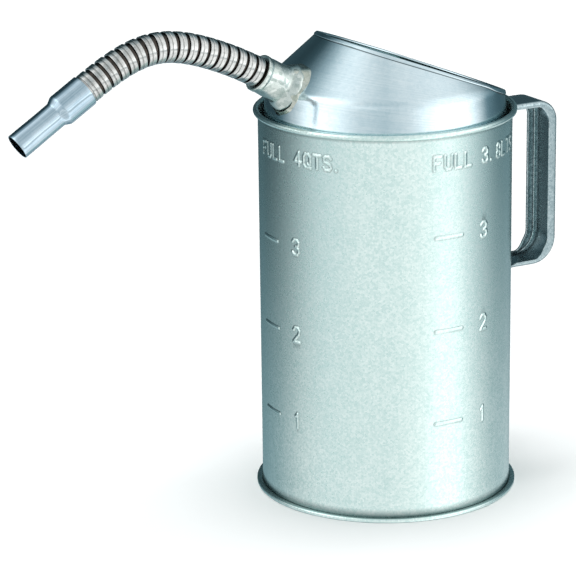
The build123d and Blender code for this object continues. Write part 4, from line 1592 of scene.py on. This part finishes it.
    def ring(self, tree: bpy.types.NodeTree, stops: tuple[tuple[float, float], ...],
             share: bpy.types.NodeSocket) -> bpy.types.NodeSocket:
        """Add one level of the surroundings as a colour ramp all the way round.

        Args:
            tree: the world's tree.
            stops: degrees around and brightness, in rising order.
            share: how far around each ray points, 0 to 1.

        Returns:
            The level's colour.
        """
        band = add_node(tree, "ShaderNodeValToRGB", links={"Fac": share})
        ramp = band.color_ramp
        while len(ramp.elements) < len(stops):
            ramp.elements.new(0.5)
        for element, (degrees, brightness) in zip(ramp.elements, stops):
            element.position = (degrees + 180) / 360
            element.color = self.glow(brightness)
        return band.outputs["Color"]

    def lamps(self) -> None:
        """Add one wide sun lamp almost straight above, a little behind, for the shadow on the floor."""
        data = bpy.data.lights.new("overhead_softbox", "SUN")
        data.energy, data.angle = self.lamp_power, math.radians(self.lamp_spread_deg)
        lamp = bpy.data.objects.new("overhead_softbox", data)
        bpy.context.scene.collection.objects.link(lamp)
        turn = Matrix.Rotation(-math.radians(self.heading_deg), 3, "Z")
        lamp.rotation_mode = "QUATERNION"
        lamp.rotation_quaternion = (turn @ Vector(self.lamp_from)).to_track_quat("Z", "Y")
        lamp.visible_glossy = False

    def dress(self) -> None:
        """Set up camera, floor, surroundings and lamps."""
        bpy.context.scene.view_settings.view_transform = "Standard"
        self.camera()
        self.floor()
        self.surroundings()
        self.lamps()


# --- whole object ------------------------------------------------------------------------------

def hose_stations() -> list[tuple[Vector, Vector]]:
    """Find each turn of the hose from the joints and the nozzle's mount.

    Returns:
        Origin, in metres, and direction of each turn.
    """
    origins = [Vector(joint["pos_m"]) for joint in frame["joints"]]
    tip = next(mount for mount in frame["record"]["mounts"] if mount["name"] == "nozzle_tip")
    directions = [(after - before).normalized() for before, after in zip(origins, origins[1:])]
    directions.append(Vector(tip["axis"]).normalized())
    return list(zip(origins, directions))


def main() -> None:
    """Build the studio and the oil can, piece by piece."""
    logging.basicConfig(level=logging.INFO, format="%(name)s: %(message)s")
    Studio().dress()
    finishes = {key: finish.build() for key, finish in {
        "galvanised": GALVANISED_SHEET, "hood": SPUN_ZINC_SHEET, "solder": WIPED_SOLDER,
        "collar": TINNED_COLLAR, "strip": WOUND_STRIP, "nozzle": PLATED_TUBE_PAINTED_REFLECTIONS, "strap": PRESSED_STRAP,
        "rivet": RIVET_ZINC, "wire": DRAWN_WIRE}.items()}
    stations = hose_stations()
    hood = Hood()
    collar = SpoutCollar(hood, stations[0][0])
    last_origin, last_direction = stations[-1]
    hose = WoundHose(stations)
    nozzle = Nozzle(last_origin + last_direction * hose.pitch * MM, last_direction)
    built = CanBody().dress(finishes) + hood.dress(finishes) + collar.dress(finishes)
    built += RootCuff(collar).dress(finishes) + hose.dress(finishes)
    built += nozzle.dress(finishes, f"turn_{len(stations):02d}") + StrapHandle().dress(finishes)
    for piece in built:
        LOG.info("%s: %d faces", piece.name, len(piece.data.polygons))


if __name__ == "__main__":
    main()
